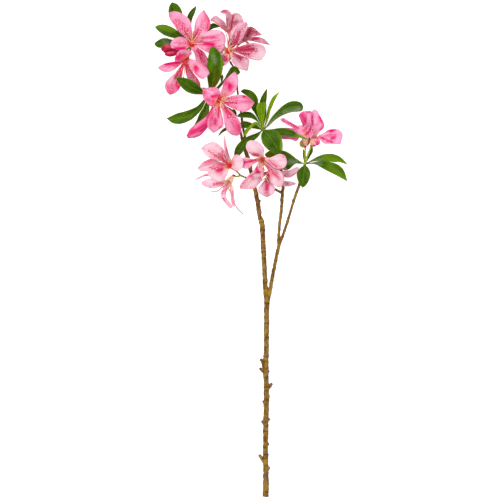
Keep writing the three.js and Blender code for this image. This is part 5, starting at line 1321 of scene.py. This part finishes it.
LEAF_CELLS = (16, 34)
LEAF_TIP_PACKING = 1.25
RIB_RADIUS = 0.75
RIB_END = 0.82
PETIOLE_SHARE = 0.1
LOWEST_LEAF = 0.6
SIDE_VEIN_STEP = 5.2
SIDE_VEIN_SLANT = 0.75


def leaf(name, spec, seed):
    """A leaf: its blade with a sunk midrib and pillowed side veins, and its stalk and rib below."""
    start = root(*spec["from"]) if isinstance(spec["from"], tuple) else spec["from"]
    path = Path([start, *spec["path"]])
    roll, fold = spec.get("roll", [0]), spec.get("fold", 0.15)
    outline = spec.get("outline", "leaf")
    node = name.removeprefix("blade_")
    piece, u, v = new_grid(name, *LEAF_CELLS)
    share = 1 - (1 - v) ** LEAF_TIP_PACKING
    at, across, face = blade_frame(path, share, roll, spec.get("side"))
    long = share * path.length
    waver = 1 + 0.02 * np.sin(long * 0.55 + seed) + 0.015 * np.sin(long * 1.3 + 2 * seed * np.sign(u))
    half = spec["width"] / 2 * width_share(outline, share) * waver
    half = np.maximum(half, np.where(share < 0.5, 0.45, 0.02) * (share < 1))
    spine = path
    if node in LEAF_EDGES:
        tilt = across[:, 2] * u * half
        low, high = (traced_side(path, roll, spec, side) for side in (-1, 1))
        lines = edge_lines(LEAF_EDGES[node], low, high)
        plan, half = between_edges(lines, share, u)
        half = np.maximum(half, 0.02)
        at = plan + np.column_stack([plan[:, :2] * 0, at[:, 2] + tilt])
        across, face = across * 0, np.broadcast_to(UP, face.shape)
        steps = np.linspace(0, 1, 14)
        middle, _ = between_edges(lines, steps, steps * 0)
        spine = Path(middle + np.column_stack([middle[:, :2] * 0, path.at(steps)[:, 2]]))
    wide = u * half
    lift = np.abs(wide) * fold * 1.1
    groove = -0.55 * np.exp(-((wide / 0.9) ** 2)) * ease(share, 0.02, 0.15) * (1 - ease(share, 0.8, 1))
    slant = (long - np.abs(wide) * SIDE_VEIN_SLANT) / SIDE_VEIN_STEP
    pillow = 0.22 * np.cos(2 * np.pi * slant) * (1 - np.abs(u)) * np.minimum(1, np.abs(wide) / 2.5)
    edge = 0.35 * np.abs(u) ** 3 * np.sin(long * 0.42 + seed * 3 + np.sign(u)) * ease(share, 0.1, 0.3)
    curl = -0.45 * np.abs(u) ** 6 * ease(share, 0.15, 0.4)
    points = at + across * wide[:, None] + face * (lift + groove - pillow + edge + curl)[:, None]
    points[:, 2] = np.maximum(points[:, 2], LOWEST_LEAF)
    move_to(piece, points)
    keep(piece, "fan", u, share, seed % 7)
    keep(piece, "cloth", wide, long, seed % 7)
    marks = LEAF_MARKS.get(node, {})
    keep(piece, "marks", *(cover(points, marks, kind) for kind in ("shade", "pale_and_highlight", "grey", "brown")))
    close_seams(piece)
    apply(piece, "SOLIDIFY", thickness=LEAF_THICKNESS * MM, offset=0.0, use_rim=True)
    return join(name, [piece, leaf_rib(spine, spec, seed)])


def traced_side(path, roll, spec, side):
    """A point beside a blade's middle line, which tells its edges apart."""
    at, across, _ = blade_frame(path, EDGE_TEST, roll, spec.get("side"))
    return at[0] + across[0] * side * spec["width"] / 2


def leaf_rib(path, spec, seed):
    """The leaf's stalk, which runs on as a rib under the blade."""
    share = np.linspace(0, RIB_END, 12)
    at, _, face = blade_frame(path, share, spec.get("roll", [0]), spec.get("side"))
    size = np.interp(share, [0, PETIOLE_SHARE, 0.4, RIB_END], [1.15, RIB_RADIUS, 0.5, 0.22])
    size = size * min(1, 0.55 + spec["width"] / 30)
    low = at - face * (0.35 + 0.35 * ease(share, 0, 0.2))[:, None]
    low[:, 2] = np.maximum(low[:, 2], size + 0.1)
    rib = rod("rib", np.column_stack([low, size]), 8, 2.0, round_ends=True)
    keep(rib, "cloth", 0.0, 0.0, seed % 7)
    # A little of the highlight channel makes the stalk a paler green, which is its own colour.
    keep(rib, "marks", 0, 0.4, 0, 0)
    return rib


# Flowers

LOBE_CELLS = 22
GUSSET_CELLS = 8
TUBE_ROWS = 14
LOBE_ROWS = 40
LOBE_TIP_PACKING = 1.5
BLEND_SHARE = 0.24
WIDEST_SECTOR = math.radians(48)
THROAT_RED = 0.55
THROAT_WARM = 0.55
GLOW_REACH = 1.5


def flower_axes(foot, mouth):
    """A flower's foot and the directions along and square to its tube."""
    base, rim = np.array(foot, float), np.array(mouth, float)
    axis = unit(rim - base)
    east = unit(np.cross([0.0, 1.0, 0.0], axis))
    return base, rim, axis, east, np.cross(axis, east)


def turned(points, centre, axis, angle):
    """Points turned about the tube."""
    arm = points - centre
    along = (arm @ axis)[:, None] * axis
    flat = arm - along
    angle = angle[:, None]
    return centre + along + flat * np.cos(angle) + np.cross(axis, flat) * np.sin(angle)


def tube_point(base, axis, out, share, length, swell=0):
    """A point on the tube from its closed foot to the ring where the lobes part."""
    ring = length - LOBE_SINK
    places = [0, 0.06, 0.12, 0.34, 0.7, 1]
    heights = [0, 0, 0.03 * ring, 0.32 * ring, 0.7 * ring, ring]
    neck, throat = TUBE_NECK_RADIUS + swell, TUBE_THROAT_RADIUS + swell
    radii = [0, TUBE_FOOT_RADIUS, TUBE_FOOT_RADIUS + 0.1, neck, throat, IN_WALL + swell * 0.5]
    height = np.interp(share, places, heights)[:, None]
    radius = np.interp(share, places, radii)[:, None]
    return base + axis * height + out * radius


def sectors(angles):
    """For each lobe, how far its share of the ring reaches on either side, and the gaps left over."""
    order = np.argsort(angles)
    reach = {}
    gaps = []
    for here, after in zip(order, np.roll(order, -1)):
        apart = (angles[after] - angles[here]) % (2 * math.pi) or 2 * math.pi
        half = min(apart / 2, WIDEST_SECTOR)
        reach.setdefault(here, [0, 0])[1] = half
        reach.setdefault(after, [0, 0])[0] = half
        if apart / 2 > WIDEST_SECTOR:
            gaps.append((angles[here] + half, angles[here] + apart - half))
    return reach, gaps


def lobe(flower, spec, edges, angle, reach, axes, seed):
    """A sector of the tube with the lobe that grows on from it."""
    base, rim, axis, east, north = axes
    out = east * math.cos(angle) + north * math.sin(angle)
    length = np.linalg.norm(rim - base)
    swell = FLOWERS[flower].get("swell", 0)
    start = rim + out * (IN_WALL + swell * 0.5) - axis * LOBE_SINK
    lip = rim + out * (OVER_LIP + swell * 0.5) + axis * LIP_RISE
    path = Path([start, lip, *spec["path"]])
    roll, fold = spec.get("roll", [0]), spec.get("fold", 0.1)
    piece, u, v = new_grid("lobe", LOBE_CELLS, TUBE_ROWS + LOBE_ROWS)
    row = np.round(v * (TUBE_ROWS + LOBE_ROWS))
    turn = np.where(u < 0, u * reach[0], u * reach[1])
    spoke = np.outer(np.cos(angle + turn), east) + np.outer(np.sin(angle + turn), north)
    tube = tube_point(base, axis, spoke, np.clip(row / TUBE_ROWS, 0, 1), length, swell)
    share = 1 - (1 - np.clip((row - TUBE_ROWS) / LOBE_ROWS, 0, 1)) ** LOBE_TIP_PACKING
    fan = turned(path.at(share), rim, axis, turn)
    at, across, face = blade_frame(path, share, roll, spec.get("side"))
    middle = blade_frame(path, np.array([0.25]), roll, spec.get("side"))[1][0]
    across = across * (1 if middle @ np.cross(axis, out) > 0 else -1)
    long = share * path.length
    waver = 1 + 0.035 * np.sin(long * 0.5 + seed * 2.1 + u) + 0.02 * np.sin(long * 1.4 + seed * np.sign(u))
    half = spec["width"] / 2 * width_share(spec.get("outline", "lobe"), share) * waver
    if edges:
        tilt = across[:, 2] * u * half
        third = np.array([0.3])
        sides = [turned(path.at(third), rim, axis, np.array([side * 0.6]))[0] for side in (-1, 1)]
        plan, half = between_edges(edge_lines(edges, *sides), share, u)
        at = plan + np.column_stack([plan[:, :2] * 0, at[:, 2] + tilt])
        across, face = across * 0, np.broadcast_to(UP, face.shape)
    wide = u * half
    crease = -0.9 * np.exp(-((u / 0.16) ** 2)) * ease(share, 0.05, 0.3) * (1 - ease(share, 0.7, 1))
    lift = half * (np.sqrt(u**2 + 0.04) - 0.2) * fold * 1.2
    wave = 0.8 * np.abs(u) ** 2.5 * np.sin(long * 0.36 + seed * 1.7 + 1.3 * np.sign(u))
    ripple = 0.3 * np.abs(u) ** 2 * np.sin(long * 0.95 + seed * 2.9 + 2.0 * np.sign(u))
    ripple = ripple + 0.14 * np.sin(u * 9 + seed)
    droop = -1.2 * ease(share, 0.82, 1) * (0.4 + np.abs(u))
    rise = (crease + lift + (wave + ripple) * ease(share, 0.25, 0.6) + droop) * min(1, spec["width"] / 18)
    blade = at + across * wide[:, None] + face * rise[:, None]
    blend = ease(share, 0, BLEND_SHARE)[:, None]
    points = np.where((row <= TUBE_ROWS)[:, None], tube, fan * (1 - blend) + blade * blend)
    move_to(piece, points)
    keep(piece, "fan", u, np.where(row <= TUBE_ROWS, 0, share), seed % 11)
    keep(piece, "cloth", wide, long - (1 - np.clip(row / TUBE_ROWS, 0, 1)) * length, seed % 11)
    tint = [cover(points, FLOWER_MARKS[flower], kind) for kind in ("crimson", "pink", "pale", "warm")]
    throat = cover(points, {"warm": [(*rim[:2], *rim[:2], 6.5, 0.5)]}, "warm")
    throat = np.where(row <= TUBE_ROWS, np.maximum(throat, THROAT_WARM), throat)
    tint[3] = np.maximum(tint[3], throat)
    if not swell:
        tint[0] = np.maximum(tint[0], THROAT_RED * (1 - ease(row, TUBE_ROWS * 0.6, TUBE_ROWS * 1.1)))
    keep(piece, "marks", *tint)
    return piece


def gusset(angles, axes, swell):
    """The stretch of tube where no lobe grows."""
    base, rim, axis, east, north = axes
    length = np.linalg.norm(rim - base)
    piece, u, v = new_grid("gusset", GUSSET_CELLS, TUBE_ROWS)
    turn = angles[0] + (u + 1) / 2 * (angles[1] - angles[0])
    spoke = np.outer(np.cos(turn), east) + np.outer(np.sin(turn), north)
    points = tube_point(base, axis, spoke, np.round(v * TUBE_ROWS) / TUBE_ROWS, length, swell)
    move_to(piece, points)
    keep(piece, "fan", u, 0.0, 1.0)
    keep(piece, "cloth", u * 3, v * length - length, 1.0)
    keep(piece, "marks", 0, 0.2, 0, THROAT_WARM)
    return piece


def corolla(number, spec):
    """An open flower: a funnel that parts into its lobes."""
    axes = flower_axes(spec["foot"], spec["mouth"])
    base, rim, axis, east, north = axes
    arms = [np.array(one["path"][0], float) - rim for one in spec["lobes"]]
    angles = np.array([math.atan2(arm @ north, arm @ east) for arm in arms])
    reach, gaps = sectors(angles)
    seed = int(number)
    parts = [
        lobe(number, one, LOBE_EDGES[number][k], angles[k], reach[k], axes, seed * 5 + k)
        for k, one in enumerate(spec["lobes"])
    ]
    parts += [gusset(gap, axes, spec.get("swell", 0)) for gap in gaps]
    whole = close_seams(join("flower_" + number, parts))
    apply(whole, "SOLIDIFY", thickness=PETAL_THICKNESS * MM, offset=0.0, use_rim=True)
    arm = points_of(whole) - base
    height = arm @ axis
    spoke = unit(arm - height[:, None] * axis)
    normals = normals_of(whole)
    # Painted glow: the inner face of the tube near its foot is marked to shine by itself and to take the
    # throat's red.
    inside = np.clip(np.sum(normals * (axis * 0.8 - spoke), axis=1) * 2, 0, 1)
    length = np.linalg.norm(rim - base)
    radius = np.linalg.norm(arm - height[:, None] * axis, axis=1)
    inside = inside * (1 - ease(height, length * 0.7, length + GLOW_REACH)) * (1 - ease(radius, 3.5, 6.5))
    keep(whole, "glow", inside * spec.get("glow", 1), 0, 0)
    return whole


def tone(piece, shade):
    """Marks a thread or pollen sac with its colour."""
    layer = piece.data.attributes["fan"]
    values = read(layer.data, "vector")
    values[:, 2] = shade
    layer.data.foreach_set("vector", values.ravel())
    return piece


def anther(at, ahead, size):
    """A pollen sac at a filament's end."""
    tip = np.array(at) + np.array(ahead) * size * 2.6
    low, high = at + (tip - at) * 0.3, at + (tip - at) * 0.7
    points = [[*at, size * 0.5], [*low, size], [*high, size], [*tip, size * 0.5]]
    return tone(rod("anther", points, 8, 0.5, round_ends=True), SAC)


def stamens(number, paths):
    """A flower's threads from the floor of its tube, each with its pollen sac."""
    base, rim, axis, _, _ = flower_axes(FLOWERS[number]["foot"], FLOWERS[number]["mouth"])
    floor = base + (rim - base) * 0.2
    parts = []
    sprays = [(spots, STAMEN_TONES[number][0]) for spots in paths]
    for x, y in SPRAYS.get(number, []):
        out = np.array([x, y, rim[2] + SPRAY_RISE]) - rim
        sprays.append(([rim + out * 0.5 + axis * 2.5, rim + out], STAMEN_TONES[number][1]))
    for spots, shade in sprays:
        lean = unit(np.array(spots[0], float) - rim)
        through = rim + axis * CLEAR_OF_MOUTH + lean * FILAMENT_SPREAD
        knots = [floor, through, *(np.array(p, float) for p in spots)]
        size = np.linspace(1, 0.8, len(knots)) * THREAD_RADIUS * STAMEN_TONES[number][2]
        parts.append(tone(rod("filament", np.column_stack([knots, size]), 8, 1.2, round_ends=True), shade))
        parts.append(anther(knots[-1], unit(knots[-1] - knots[-2]), ANTHER_RADIUS))
    return join("stamen_set_" + number, parts)


# Stalks

STALK_VOXEL = 0.32
RED_REACH = 4.2


def stalk_parts(hub, to):
    """The pieces of one fork: its stalk and the calyx cup under the flower's foot."""
    flower, *via = to
    start = [*hub[:3], STALK_RADIUS]
    middle = [[*p, STALK_RADIUS] for p in via]
    if flower is None:
        return [rod("stalk", [start, *middle], 12, 0.8, round_ends=True)]
    base, _, axis, _, _ = flower_axes(FLOWERS[flower]["foot"], FLOWERS[flower]["mouth"])
    end = base - axis * SEAT_GAP
    neck = end - axis * CALYX_LENGTH
    parts = [rod("stalk", [start, *middle, [*neck, STALK_RADIUS]], 12, 0.8, round_ends=True)]
    cup = [[*neck, STALK_RADIUS * 1.05], [*(neck + axis * 1.4), 2.1], [*end, CALYX_RADIUS]]
    parts.append(rod("cup", cup, 16, 0.4))
    return parts


def stalk_group(name, spec):
    """A group's stalks and calyxes, grown together at its hub."""
    hub = above(spec["hub"]) if isinstance(spec["hub"], str) else spec["hub"]
    parts = [part for one in spec["to"] for part in stalk_parts(hub, one)]
    bpy.ops.mesh.primitive_uv_sphere_add(segments=16, ring_count=10, radius=hub[3] * MM)
    knot = bpy.context.object
    move_to(knot, points_of(knot) + np.array(hub[:3]))
    parts.append(knot)
    whole = join(name, parts)
    apply(whole, "REMESH", mode="VOXEL", voxel_size=STALK_VOXEL * MM)
    apply(whole, "SMOOTH", factor=0.5, iterations=4)
    points = points_of(whole)
    red = np.zeros(len(points))
    for flower, *_ in spec["to"]:
        if flower:
            gap = np.linalg.norm(points - np.array(FLOWERS[flower]["foot"], float), axis=1)
            red = np.maximum(red, np.exp(-((gap / RED_REACH) ** 4)))
    keep(whole, "marks", red, 0, 0, 0)
    return whole


# Buds

BUD_TIP_PACKING = 1.3


def furled(name, spine, petals, turns, marks, cells=(14, 30)):
    """A closed flower: petals wrapped round a spine, each with one edge over its neighbour."""
    knots = np.array(spine, float)
    path = Path(knots[:, :3])
    parts = []
    for k in range(petals):
        piece, u, v = new_grid("petal", *cells)
        share = 1 - (1 - v) ** BUD_TIP_PACKING
        radius = radius_at(share, knots)
        at, ahead = path.at(share), path.ahead(share)
        side = unit(np.cross(UP, ahead))
        face = np.cross(ahead, side)
        spread = 2 * math.pi / petals * (0.78 - 0.2 * ease(share, 0.8, 1))
        angle = 2 * math.pi * (k / petals + turns * share) + u * spread
        overlap = radius * (1 + 0.1 * u * ease(share, 0.05, 0.3)) + 0.15 * np.sin(u * 5 + k)
        overlap = np.maximum(overlap, 0.1)
        points = at + (side * np.cos(angle)[:, None] + face * np.sin(angle)[:, None]) * overlap[:, None]
        move_to(piece, points)
        keep(piece, "fan", u, share, k + 0.5)
        keep(piece, "marks", *(cover(points, marks, kind) for kind in ("crimson", "pink", "pale", "warm")))
        close_seams(piece)
        apply(piece, "SOLIDIFY", thickness=PETAL_THICKNESS * MM, offset=-1.0, use_rim=True)
        parts.append(piece)
    return join(name, parts)


# Wood

WOOD_SIDES = 20
WOOD_STEP = 1.5
VOXEL = 0.58
CUT_LINE = -370.3
CUT_LEAN = (0.05, 1.0, 0.08)
CUT_RIM = 0.45
CUT_DEPTH = 0.25

# Where the pith lies at the cut, as X and Z.
PITH = (22.3, 3.9)


def wood_rods():
    """Every rod of the wood. The trunk runs on past the cut, which takes the rest off."""
    parts = []
    for name, points in WOOD.items():
        knots = [list(p) for p in points]
        if name == "trunk":
            knots.insert(0, [PITH[0], CUT_LINE - 4, PITH[1], 3.9])
        parts.append(rod(name, knots, WOOD_SIDES, WOOD_STEP, round_ends=True))
    for spot in STUBS.values():
        ends = [[spot["x"], spot["y"], spot[z], STUB_RADIUS] for z in ("low", "high")]
        parts.append(rod("stub", ends, WOOD_SIDES, WOOD_STEP, round_ends=True))
    parts += [rod("spur", points, 14, 1.0) for points in SPURS]
    return parts


def nearest_on_wood(points):
    """For each point, how far along its rod it lies and how thin the rod is there."""
    samples = []
    for knots in WOOD.values():
        knots = np.array(knots, float)
        path = Path(knots[:, :3])
        share = np.linspace(0, 1, max(8, round(path.length)))
        samples.append(np.column_stack([path.at(share), share * path.length, radius_at(share, knots)]))
    samples = np.concatenate(samples)
    tree = kdtree.KDTree(len(samples))
    for k, sample in enumerate(samples):
        tree.insert(sample[:3], k)
    tree.balance()
    found = np.array([tree.find(p)[1] for p in points])
    return samples[found, 3], samples[found, 4]


def ring_strength(along):
    """Dark scars round the wood, at uneven steps along it."""
    strength = np.zeros(len(along))
    chance = np.random.default_rng(11)
    place = 6.0
    while place < 320:
        width, most = chance.uniform(0.4, 0.9), chance.uniform(0.35, 1.0)
        strength = np.maximum(strength, most * np.exp(-(((along - place) / width) ** 2)))
        place += chance.uniform(5, 15)
    return strength


def woody_stem():
    """The whole forked stem, grown as one."""
    whole = join("stem", wood_rods())
    apply(whole, "REMESH", mode="VOXEL", voxel_size=VOXEL * MM)
    apply(whole, "SMOOTH", factor=0.5, iterations=3)
    points = points_of(whole)
    along, thickness = nearest_on_wood(points)
    ring = ring_strength(along)
    normals = normals_of(whole)
    lumps = np.array([noise.fractal(Vector(p * 0.16), 0.8, 2.0, 3) for p in points])
    grain = np.array([noise.noise(Vector(p * (0.9, 0.25, 0.9))) for p in points])
    grow = (0.3 * ring + 0.8 * lumps + 0.4 * grain) * np.clip(thickness / 3.5, 0.35, 1)
    move_to(whole, points + normals * grow[:, None])
    twig = 1 - ease(thickness, 2.0, 3.2)
    keep(whole, "grain", along, ring, twig)
    fresh = np.zeros(len(points))
    for spot in STUBS.values():
        gap = np.linalg.norm(points - np.array([spot["x"], spot["y"], spot["high"]]), axis=1)
        fresh = np.maximum(fresh, 1 - ease(gap, 5, 10))
    # The second mark is painted shade. It grows where the surface turns from facing up towards its sides and
    # underside.
    keep(whole, "marks", fresh, ease(1 - normals[:, 2], 0.15, 0.85), 0, 0)
    return saw_off(whole)


def saw_off(whole):
    """Cuts the stem's lower end flat, leaves a bark rim round the cut and sets the stem on the ground."""
    pick(whole)
    bpy.ops.object.mode_set(mode="EDIT")
    bpy.ops.mesh.select_all(action="SELECT")
    plane = {"plane_co": (0, CUT_LINE * MM, 0), "plane_no": CUT_LEAN}
    bpy.ops.mesh.bisect(**plane, use_fill=True, clear_inner=True)
    bpy.ops.mesh.inset(thickness=CUT_RIM * MM)
    bpy.ops.transform.translate(value=(0, CUT_DEPTH * MM, 0))
    bpy.ops.object.mode_set(mode="OBJECT")
    for face in whole.data.polygons:
        face.material_index = int(face.select)
    points = points_of(whole)
    points[:, 2] = np.maximum(points[:, 2], 0)
    move_to(whole, points)
    return whole


# The branch

# For each kind of petal: its body, light, hot, deep and throat colours, and how much it shines by itself, a
# painted glow that lifts its shade.
PETALS = {
  "rich": ((240, 104, 158), (252, 184, 212), (230, 14, 104), (216, 16, 74), (255, 160, 84)),
  "cerise": ((248, 96, 162), (255, 176, 212), (232, 18, 112), (204, 4, 76), (240, 196, 130), 0.07),
  "blush": ((244, 152, 184), (252, 212, 222), (234, 30, 108), (212, 12, 62), (255, 180, 112)),
  "dusty": ((226, 132, 164), (246, 204, 216), (210, 24, 98), (184, 0, 66), (250, 184, 90)),
  "shaded": ((212, 110, 142), (240, 198, 206), (204, 34, 98), (176, 4, 66), (240, 176, 160), 0.03),
  "faded": ((244, 158, 184), (255, 216, 226), (228, 44, 104), (204, 20, 70), (255, 230, 160), 0.22),
}
PETAL_KIND = {
  "03": "dusty", "04": "shaded", "05": "shaded", "07": "blush", "08": "faded", "09": "blush", "10": "dusty",
  "11": "cerise", "12": "cerise",
}
PETAL_FINISH = {kind: petal_finish("petal_" + kind, *tones) for kind, tones in PETALS.items()}
LEAF = leaf_finish("leaf", (66, 108, 0), (46, 74, 0), (118, 160, 0), (150, 162, 130), (116, 154, 20))
YOUNG_LEAF = leaf_finish(
    "young_leaf", (116, 158, 0), (92, 136, 0), (164, 198, 20), (190, 208, 120), (180, 204, 40)
)

for index, (name, spec) in enumerate(LEAVES.items()):
    young = spec.get("young")
    piece = leaf("blade_" + name, spec, index + 1)
    finish_piece(piece, YOUNG_LEAF if young else LEAF, "young_leaf" if young else "leaf", name)

DRY = leaf_finish(
    "dry_scale", (184, 164, 64), (150, 110, 56), (222, 206, 130), (210, 196, 140), (206, 180, 96)
)
scales = join("scales", [leaf("scale_" + key, spec, k + 40) for k, (key, spec) in enumerate(SCALES.items())])
finish_piece(scales, DRY, "stalk")

for number, spec in FLOWERS.items():
    kind = PETAL_KIND.get(number, "rich")
    slot = "petal_pink" if kind in ("rich", "cerise") else "petal_blush"
    finish_piece(corolla(number, spec), PETAL_FINISH[kind], slot, "corolla_" + number)

STAMEN = stamen_finish()
for number, paths in STAMENS.items():
    finish_piece(stamens(number, paths), STAMEN, "stamen", "stamens_" + number)

STALK = stalk_finish()
for name, spec in STALKS.items():
    finish_piece(stalk_group("green_" + name, spec), STALK, "stalk", name)

BUD = bud_finish("bud", (242, 96, 136), (216, 18, 72), (140, 0, 34))
buds = join("furled_buds", [furled("bud", spine, 5, 0.12, BUD_MARKS, cells=(12, 22)) for spine in BUD_SPINES])
finish_piece(buds, BUD, "bud", "bud_pair")
HALF_OPEN = bud_finish("half_open", (252, 164, 200), (244, 74, 142), (222, 28, 104))
half_open = furled("furled_flower", HALF_OPEN_SPINE, 5, 0.3, HALF_OPEN_MARKS, cells=(16, 40))
finish_piece(half_open, HALF_OPEN, "petal_pink", "flower_half_open")

finish_piece(woody_stem(), bark_finish(), "bark", "woody_stem", more=[cut_finish()])


# The ground, light and camera

def ground():
    """A white ground that glows a little, like a light table, so the branch throws hardly any shadow."""
    bpy.ops.mesh.primitive_plane_add(size=6, location=(0, 0, 0))
    floor = bpy.context.object
    floor.name = "floor"
    move_to(floor, points_of(floor) - np.array([0, 0, 0.2]))
    finish = Finish("ground", Roughness=0.9, Specular_IOR_Level=0.0, Emission_Strength=0.6)
    x, y, z = finish.place()
    grain = finish.noise(x * 0.3, y * 0.3, z * 0.3)
    tones = {0: grain, 6: (0.93, 0.93, 0.93, 1), 7: (0.96, 0.96, 0.96, 1)}
    white = finish.add("ShaderNodeMix", {"data_type": "RGBA"}, tones, output=2)
    finish.plug(finish.surface.inputs["Emission Color"], (1, 1, 1, 1))
    floor.data.materials.append(finish.show(white))


def lamp(name, place, aim, size, power):
    """A large soft lamp, aimed at a point."""
    bpy.ops.object.light_add(type="AREA", location=place)
    light = bpy.context.object
    light.name = name
    light.data.shape = "DISK"
    light.data.size = size
    light.data.energy = power
    away = Vector(np.array(place) - np.array(aim))
    light.rotation_euler = away.to_track_quat("Z", "Y").to_euler()


def studio():
    """A soft white surround. It is darker in reflections, so that the gloss comes from the lamps."""
    world = bpy.data.worlds.new("studio")
    bpy.context.scene.world = world
    world.use_nodes = True
    nodes, links = world.node_tree.nodes, world.node_tree.links
    background = nodes["Background"]
    rays = nodes.new("ShaderNodeLightPath")
    dim = nodes.new("ShaderNodeMapRange")
    dim.inputs["To Min"].default_value = SURROUND
    dim.inputs["To Max"].default_value = SURROUND_GLOSS
    links.new(rays.outputs["Is Glossy Ray"], dim.inputs["Value"])
    links.new(dim.outputs["Result"], background.inputs["Strength"])
    background.inputs["Color"].default_value = (1, 1, 1, 1)


def camera():
    """Looks straight down on the branch, as the picture shows it from the front."""
    bpy.ops.object.camera_add(location=(VIEW_CENTRE[0] * MM, VIEW_CENTRE[1] * MM, CAMERA_HEIGHT * MM))
    eye = bpy.context.object
    eye.data.type = "ORTHO"
    eye.data.ortho_scale = VIEW_SIZE * MM
    eye.data.clip_end = 10
    bpy.context.scene.camera = eye


ground()
lamp("key", (-1.2, 1.4, 2.6), (0, 0.1, 0), 1.6, 62)
lamp("fill", (1.8, -0.6, 2.2), (0, 0.1, 0), 2.4, 18)
camera()

scene = bpy.context.scene
scene.view_settings.view_transform = "Standard"
studio()
